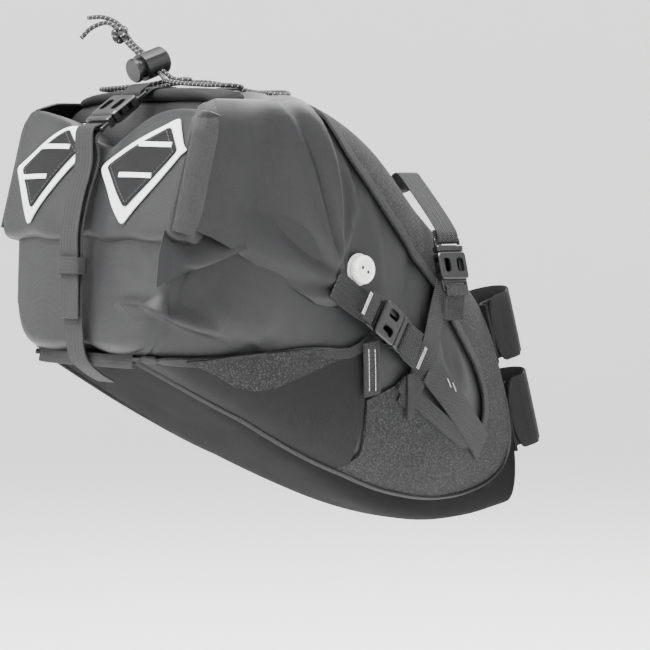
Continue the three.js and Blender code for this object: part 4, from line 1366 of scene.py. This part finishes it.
class SADDLEBAG_OT_straps(bpy.types.Operator):
    """Make the webbing: rear, side, rail and window straps with their bartacks"""
    bl_idname = "saddle_bag.straps"
    bl_label = "Straps"

    def execute(self, context):
        m = palette()
        sizes = context.scene.saddle_bag_sizes
        wide, thick = sizes.webbing / MM, sizes.webbing_thick / MM
        for side, word in SIDES:
            self.side_strap(side, word, wide, thick, m)
            self.rail_strap(side, word, wide, thick, m)
            self.window_straps(side, word, thick, m)
        self.rear_strap(wide, thick, m)
        return {"FINISHED"}

    def side_strap(self, side, word, wide, thick, m):
        f = side_frame(side)
        wing = [hug(f, -44, 4.6), hug(f, -36, 4.6), hug(f, -28, 4.6), hug(f, -20, 5.0),
                *arc(SOCKET_BAR, 0, BAR_TURN, -90, 90), (-15, 1.6)]
        piece = strap_tape(f"roll_end_webbing_{word}", f, wing, wide, thick)
        finish_piece(piece, "bag", "webbing", m["webbing"], f"roll_webbing_{word}")
        tack = bartack(f"roll_end_bartack_{word}", f, -17.5, 2.5, wide * 0.8)
        finish_piece(tack, "bag", "webbing", m["white_thread"])
        front = [(46, 3.6), (43, 2.9), (36, 2.4), *arc(PLUG_BAR, 0, BAR_TURN, 90, 270), (36, -2.6),
                 hug(f, 47, FIRST), hug(f, 54, FIRST), hug(f, 62, FIRST), hug(f, 69, FIRST)]
        piece = strap_tape(f"side_webbing_{word}", f, front, wide, thick)
        blend_strap(piece, f, m["webbing"],
                    f"side_strap_{word}", PLUG_BAR + 26, PLUG_BAR + 3)
        tack = bartack(f"side_bartack_{word}", f, 62, hug(f, 63, FIRST)[1] + 1.0, wide * 0.8)
        finish_piece(tack, "bag", "webbing", m["white_thread"])

    def rail_strap(self, side, word, wide, thick, m):
        f = rail_frame(side)
        width = wide * f["scale"]
        anchor = [hug(f, -30, FIRST + 4.4), hug(f, -22, FIRST + 4.4), (-14, -3.2),
                  *arc(SOCKET_BAR, 0, BAR_TURN, -90, 90), (-13, 2)]
        piece = strap_tape(f"rail_anchor_webbing_{word}", f, anchor, width, thick * 0.85)
        finish_piece(piece, "bag", "webbing", m["webbing"], f"rail_anchor_{word}")
        rx, rt = in_strap(f, [RAIL[0], side * RAIL[1], RAIL[2]])
        loop = [(41, -2.4), *arc(PLUG_BAR, 0, BAR_TURN, 270, 90), (37, 2.6),
                *arc(rx, rt, 7.4, 62, -112, 12), in_strap(f, [RAIL[0], side * 9, 125.4]),
                in_strap(f, [RAIL[0], side * 1.8, 126])]
        piece = strap_tape(f"rail_webbing_{word}", f, loop, width, thick * 0.85)
        blend_strap(piece, f, m["webbing"],
                    f"rail_strap_{word}", PLUG_BAR + 20, PLUG_BAR + 3)

    def window_straps(self, side, word, thick, m):
        for name, a, b, broad, node in (
            ("window_edge", (-84, 70), (-128, -14), 18, "window_strap"),
            ("window_brace", (-108, 11), (-38, -46), 21, "window_brace"),
        ):
            line = spline([a, ((a[0] + b[0]) / 2, (a[1] + b[1]) / 2), b], 1.5)
            p, n = on_skin(line[:, 0], line[:, 1], side, OUT_OF_HARNESS + 0.9)
            piece = tape(f"{name}_webbing_{word}", p, n, broad, thick)
            finish_piece(piece, "bag", "webbing", m["webbing"], f"{node}_{word}")
        for x, z in ((-86, 0), (-80, -3)):
            q, r = on_skin(np.array([x - 2.0, x + 2.0]), np.array([z + 3.0, z - 3.0]), side,
                           OUT_OF_HARNESS + 2.2)
            tack = stitch_row(f"brace_bartack_{word}_{-x}", [(q, r)], (1.6, 0.5), 1.6)
            finish_piece(tack, "bag", "webbing", m["white_thread"])
        drop = spline([(-127, 8), (-125, -6), (-123, -22)], 1.5)
        p, n = on_skin(drop[:, 0], drop[:, 1], side, OUT_OF_HARNESS + 2.6)
        piece = tape(f"window_drop_{word}", p, n, 6.5, 1.6)
        finish_piece(piece, "bag", "webbing", m["binding"])
        tail = spline([(-166, 30), (-164, 16), (-162, 2), (-161, -5)], 1.5)
        p, n = on_skin(tail[:, 0], tail[:, 1], side, 5.6)
        piece = tape(f"side_tail_{word}", p, n, 14, thick)
        finish_piece(piece, "bag", "webbing", m["webbing"])
        rows = []
        for across in (-3.0, 2.4):
            q, r = on_skin(tail[3:-2, 0] + across, tail[3:-2, 1], side, 6.5)
            rows.append((q, r))
        tack = stitch_row(f"side_tail_stitching_{word}", rows, (2.2, 0.45), 2.6)
        finish_piece(tack, "bag", "webbing", m["white_thread"])

    def rear_strap(self, wide, thick, m):
        f = rear_frame()
        to = lambda x, z: in_strap(f, [x, 0, z])
        anchor = [to(-260, 193.2), to(-270, 193.2), to(-278, 192),
                  *arc(SOCKET_BAR, 0, BAR_TURN, -90, 90), (-14, 2)]
        piece = strap_tape("rear_anchor", f, anchor, wide, thick)
        finish_piece(piece, "bag", "webbing", m["webbing"], "rear_anchor_webbing")
        path = [
            to(-308, 5.5), to(-318, 11), to(-329, 21), to(-332.4, 40), to(-332.4, 80), to(-332, 100),
            to(-326.5, 124), to(-319, 148), (38, -2.6), *arc(PLUG_BAR, 0, BAR_TURN, 270, 90), (37, 3),
            to(-324.8, 144), to(-331.4, 122), to(-335.6, 100), to(-335.4, 80), to(-335.4, 46),
        ]
        piece = strap_tape("rear_webbing", f, path, wide, thick)
        blend_strap(piece, f, m["webbing"], "rear_strap",
                    PLUG_BAR + 26, PLUG_BAR + 3)
        keeper = tape("strap_keeper_loop", *keeper_ring(), 11, 1.2)
        finish_piece(keeper, "bag", "webbing", m["binding"], "strap_keeper")


def keeper_ring():
    """The run of the elastic keeper round both layers of the rear strap."""
    a = np.linspace(0, 2 * math.pi, 49)
    c, s = np.cos(a), np.sin(a)
    y = 11.7 * np.sign(c) * np.abs(c) ** 0.35
    x = -333.5 + 4.3 * np.sign(s) * np.abs(s) ** 0.5
    centre = np.stack([x, y, np.full_like(a, 80)], -1)
    tangent = np.gradient(centre, axis=0)
    normal = np.cross(tangent, [0, 0, 1.0])
    return centre, normal / np.linalg.norm(normal, axis=1)[:, None]


class SADDLEBAG_OT_post_straps(bpy.types.Operator):
    """Make the two wide hook-and-loop straps and their tabs"""
    bl_idname = "saddle_bag.post_straps"
    bl_label = "Seatpost straps"

    def execute(self, context):
        m = palette()
        lean = SEAT_ANGLE
        ahead = np.array([math.cos(lean), 0, math.sin(lean)])
        rise = np.array([-math.sin(lean), 0, math.cos(lean)])
        post, reach = 15.8, 17.4  # the seatpost's radius, and the strap's round it
        long = [(-4.6, 28), (-4.6, 21.5), (-1.6, 18.2), (4, 16.6),
                *arc(post, 0, reach, 118, -58, 22), *arc(post, 0, reach + 3, -76, -100, 4), (1, -21)]
        short = [(-4.6, -28), (-4.6, -21.5), (-1.6, -18.2), (4, -16.6),
                 *arc(post, 0, reach, -118, -84, 6)]
        for word, height, width in (("upper", 31, 46), ("lower", -30, 50)):
            for kind, path, wide in (("strap", long, width), ("tab", short, width - 4)):
                line = spline(path, 1.2)
                centre = line[:, 0:1] * ahead + height * rise
                centre[:, 1] = line[:, 1]
                t = np.gradient(line, axis=0)
                normal = -t[:, 1:2] * ahead
                normal[:, 1] = t[:, 0]
                normal /= np.linalg.norm(normal, axis=1)[:, None]
                ends = round_ends(9) if kind == "strap" else None
                piece = tape(f"post_{kind}_{word}_tape", centre, normal, wide, 2.0, ends=ends)
                finish_piece(piece, "bag", "hook_and_loop", m["loops"], f"post_{kind}_{word}")
        return {"FINISHED"}


# ------------------------------------------------------------------ shock cord
LOCK = np.array([-267, 8, 209.0])
CORD_RUN = unit([-0.22, 0.78, 0.585])
PRESS = np.array([-0.94, -0.017, -0.33])
PRESS = unit(PRESS - CORD_RUN * (PRESS @ CORD_RUN))


def through(along, across):
    return tuple(LOCK + CORD_RUN * along + PRESS * across)


CORD_PLACES = [
    (-292, 54, 226), (-286, 50, 233), (-278, 42, 236),
    through(22, 1.6), through(10, 1.7), through(0, 1.7),
    through(-11, 1.7), (-275, -22, 197), (-269.5, -56, 194), (-268, -66, 193.8), (-264, -73.4, 193.5),
    (-257.5, -75, 193), (-251.5, -70.5, 192.3), (-248, -62, 192), (-231, -22, 192.5), (-215, 36, 190),
    (-213.6, 49, 189.2), (-211.8, 53.5, 188.5), (-207.3, 55.4, 188.2), (-202.8, 53.5, 188.8), (-201, 49, 190),
    (-201, 30, 190.6), (-201, -30, 190.6), (-201, -49, 190), (-202.8, -53.5, 188.8), (-207.3, -55.4, 188.2),
    (-211.8, -53.5, 188.5), (-213.6, -49, 189.2), (-215, -34, 190.4), (-231, 2, 197.4), (-248, 58, 193.4),
    (-250.7, 67, 193), (-253, 72.6, 193.1), (-258.6, 74.9, 193.3),
    (-264.2, 72.6, 193.5), (-266.5, 67, 193.7), (-266, 56, 194),
    (-259, 26, 195.8), (-251.5, 8, 198.6), (-249.2, -7, 198.8), (-251, -12, 198.4), (-255.4, -14, 198),
    (-259.8, -12.2, 198.2), (-261.8, -7.6, 199.4),
    through(-12, -2), through(-8, -1.7), through(0, -1.7), through(10, -1.7), through(22, -1.6),
    (-272, 41, 236), (-277, 50, 240), (-281, 62, 240),
]


class SADDLEBAG_OT_shock_cord(bpy.types.Operator):
    """Make the shock cord with its flecked sleeve and its knot"""
    bl_idname = "saddle_bag.shock_cord"
    bl_label = "Shock cord"

    def execute(self, context):
        m = palette()
        diameter = context.scene.saddle_bag_sizes.cord
        piece, line, length = tube("elastic_cord", CORD_PLACES, diameter / MM / 2, 12, 1.6)
        finish_piece(piece, "bag", "shock_cord", m["cord"], "shock_cord")
        centre = np.array(through(33, 0))
        third = unit(np.cross(CORD_RUN, PRESS))
        turns = np.linspace(0, 2 * math.pi, 49)
        ring = 3.4 + 1.7 * np.cos(3 * turns)
        knot_line = centre + (ring * np.cos(2 * turns))[:, None] * PRESS
        knot_line += (ring * np.sin(2 * turns))[:, None] * CORD_RUN
        knot_line += (2.6 * np.sin(3 * turns))[:, None] * third
        knot, _l, _n = tube("cord_knot", knot_line, 1.9, 10, 1.0)
        finish_piece(knot, "bag", "shock_cord", m["cord"])
        tuple(line[0] * MM)
        length * MM
        (line * MM).tolist()
        return {"FINISHED"}


# ------------------------------------------------------------------ air valve
VALVE_AT = (-174.0, 76.5)  # x and z on the bag's right side


def turned(name, profile, at, axis, ribs=0, sides=48):
    """A turned part from a profile of radius and height; ribs knurl its widest places."""
    profile = np.asarray(profile, float)
    n = len(profile) - 1
    axis = unit(axis)
    a = unit(np.cross(axis, [0.3, 0.1, 1.0]))
    b = np.cross(axis, a)
    most = profile[:, 0].max()

    def place(s, t):
        i = np.clip(np.rint(t * n).astype(int), 0, n)
        turn = 2 * math.pi * s
        r = profile[i, 0]
        if ribs:
            r = r - 0.45 * (r > most - 0.6) * (np.cos(turn * ribs) > 0)
        return (np.asarray(at) + (r * np.cos(turn))[:, None] * a + (r * np.sin(turn))[:, None] * b
                + profile[i, 1][:, None] * axis)

    return close(grid(name, sides, n, place), merge=0.00003)


class SADDLEBAG_OT_valve(bpy.types.Operator):
    """Make the air valve: its welded base and its knurled knob, with two dark discs painted as the shade of
    its finger holes
    """
    bl_idname = "saddle_bag.valve"
    bl_label = "Air valve"

    def execute(self, context):
        m = palette()
        x, z = VALVE_AT
        out = skin_normal(x, z, -1)
        at = np.array([x, -float(skin_y(x, z)), z])
        base = turned("valve_flange", [(0, 0.4), (9.8, 0.4), (10.4, 0.9), (10.4, 1.5), (9.8, 1.9),
                                       (7.2, 2.1), (0, 2.1)], at, out)
        finish_piece(base, "bag", "white_plastic", m["white"], "valve_base")
        knob = turned("valve_cap", [(0, 2.2), (7.6, 2.2), (9.2, 2.9), (9.2, 4.6), (9.2, 6.8), (8.5, 7.8),
                                    (7.4, 8.3), (7.0, 7.7), (3.4, 7.5), (0, 7.5)], at, out, 30, 180)
        finish_piece(knob, "valve_knob", "white_plastic", m["white"], "valve_knob")
        along = unit(np.cross(out, [0.5, 0, 0.8]))
        # The finger holes are not cut: a thin dark disc on the knob's top stands for the shade in each,
        # painted shade.
        for number, way in enumerate((-1, 1)):
            hole_shade = turned(f"valve_hole_shade_{number}", [(0, 7.45), (1.15, 7.45), (1.15, 7.62), (0, 7.62)],
                          at + along * 2.9 * way, out, 0, 16)
            finish_piece(hole_shade, "valve_knob", "white_plastic", m["plastic"])
        return {"FINISHED"}


# ------------------------------------------------------------------ finishes of the hard parts
class SADDLEBAG_OT_hard_parts(bpy.types.Operator):
    """Give the buckles and the cord lock their moulded finish"""
    bl_idname = "saddle_bag.hard_parts"
    bl_label = "Hard parts"

    def execute(self, context):
        m = palette()
        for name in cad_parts:
            piece = bpy.data.objects.get(name)
            if piece and ("buckle" in name or name.startswith("cord_lock")):
                for slot in piece.material_slots:
                    slot.material = m["plastic"]
        return {"FINISHED"}


# ------------------------------------------------------------------ stage
TARGET = Vector((-0.134, 0, 0.037))
CAMERA_AWAY = 2.4
# Name, azimuth and height in degrees, distance, power in watts, and size in metres.
LIGHTS = (
    ("key", -72, 54, 2.0, 112, 0.6),
    ("fill", 20, 30, 2.4, 6, 1.6),
    ("rear", -115, 20, 2.0, 24, 1.0),
    ("rim", 120, 50, 2.2, 75, 1.0),
    ("top", -20, 84, 2.0, 50, 1.0),
)
WORLD_LIGHT = 0.22


def towards(azimuth, height):
    """The way from the target out to a camera or a light."""
    level = math.cos(height)
    return Vector((math.sin(azimuth) * level, -math.cos(azimuth) * level, math.sin(height)))


class SADDLEBAG_OT_stage(bpy.types.Operator):
    """Make the pale floor, the soft lights and the camera"""
    bl_idname = "saddle_bag.stage"
    bl_label = "Stage"

    def execute(self, context):
        m = palette()
        sizes = context.scene.saddle_bag_sizes
        deselect()
        turn, rise = sizes.camera_turn, sizes.camera_rise
        back = towards(turn, rise)
        bpy.ops.object.camera_add(location=TARGET + back * CAMERA_AWAY)
        camera = context.object
        camera.rotation_mode = "QUATERNION"
        camera.rotation_quaternion = (-back).to_track_quat("-Z", "Y")
        camera.data.lens = 199
        camera.data.sensor_width = 36
        camera.data.clip_end = 30
        context.scene.camera = camera

        def sweep(s, t):
            run = t * 9000
            flat = np.minimum(run, 3600)
            bend = np.clip((run - 3600) / 1900, 0, 1) * math.pi / 2
            far = flat + 1200 * np.sin(bend)
            high = 1200 * (1 - np.cos(bend)) + np.clip(run - 5500, 0, None)
            turn = 2 * math.pi * s
            return np.stack([-134 + far * np.cos(turn), far * np.sin(turn), high - 330], -1)

        floor = close(grid("floor_sweep", 64, 60, sweep), merge=0.001, fill=False)
        select(floor)
        bpy.ops.object.shade_smooth()
        floor.data.materials.append(m["floor"])
        for name, azimuth, height, away, power, size in LIGHTS:
            where = towards(math.radians(azimuth), math.radians(height)) * away
            bpy.ops.object.light_add(type="AREA", location=TARGET + where)
            light = context.object
            light.name = f"{name}_light"
            light.data.energy = power
            light.data.size = size
            light.rotation_mode = "QUATERNION"
            light.rotation_quaternion = where.to_track_quat("Z", "Y")
        world = context.scene.world or bpy.data.worlds.new("World")
        context.scene.world = world
        world.use_nodes = True
        world.node_tree.nodes["Background"].inputs[0].default_value = (1, 1, 1, 1)
        world.node_tree.nodes["Background"].inputs[1].default_value = WORLD_LIGHT
        return {"FINISHED"}


class SADDLEBAG_PT_panel(bpy.types.Panel):
    bl_label = "Saddle Bag"
    bl_idname = "SADDLEBAG_PT_panel"
    bl_space_type = "VIEW_3D"
    bl_region_type = "UI"
    bl_category = "Saddle Bag"

    def draw(self, context):
        for group in (context.scene.saddle_bag_sizes, context.scene.saddle_bag_colours):
            box = self.layout.box()
            for key in group.__annotations__:
                box.prop(group, key)
        for operator in OPERATORS:
            self.layout.operator(operator.bl_idname)


OPERATORS = (
    SADDLEBAG_OT_stage,
    SADDLEBAG_OT_shock_cord,
    SADDLEBAG_OT_dry_bag,
    SADDLEBAG_OT_lash_patches,
    SADDLEBAG_OT_harness,
    SADDLEBAG_OT_padding,
    SADDLEBAG_OT_straps,
    SADDLEBAG_OT_post_straps,
    SADDLEBAG_OT_valve,
    SADDLEBAG_OT_hard_parts,
)
CLASSES = (SaddleBagSizes, SaddleBagColours, *OPERATORS, SADDLEBAG_PT_panel)


def register():
    for each in CLASSES:
        bpy.utils.register_class(each)
    bpy.types.Scene.saddle_bag_sizes = bpy.props.PointerProperty(type=SaddleBagSizes)
    bpy.types.Scene.saddle_bag_colours = bpy.props.PointerProperty(type=SaddleBagColours)


def unregister():
    del bpy.types.Scene.saddle_bag_colours
    del bpy.types.Scene.saddle_bag_sizes
    for each in reversed(CLASSES):
        bpy.utils.unregister_class(each)


def main():
    register()
    bpy.ops.saddle_bag.stage()
    bpy.ops.saddle_bag.shock_cord()
    bpy.ops.saddle_bag.dry_bag()
    bpy.ops.saddle_bag.lash_patches()
    bpy.ops.saddle_bag.harness()
    bpy.ops.saddle_bag.padding()
    bpy.ops.saddle_bag.straps()
    bpy.ops.saddle_bag.post_straps()
    bpy.ops.saddle_bag.valve()
    bpy.ops.saddle_bag.hard_parts()
    deselect()


if __name__ == "__main__":
    main()
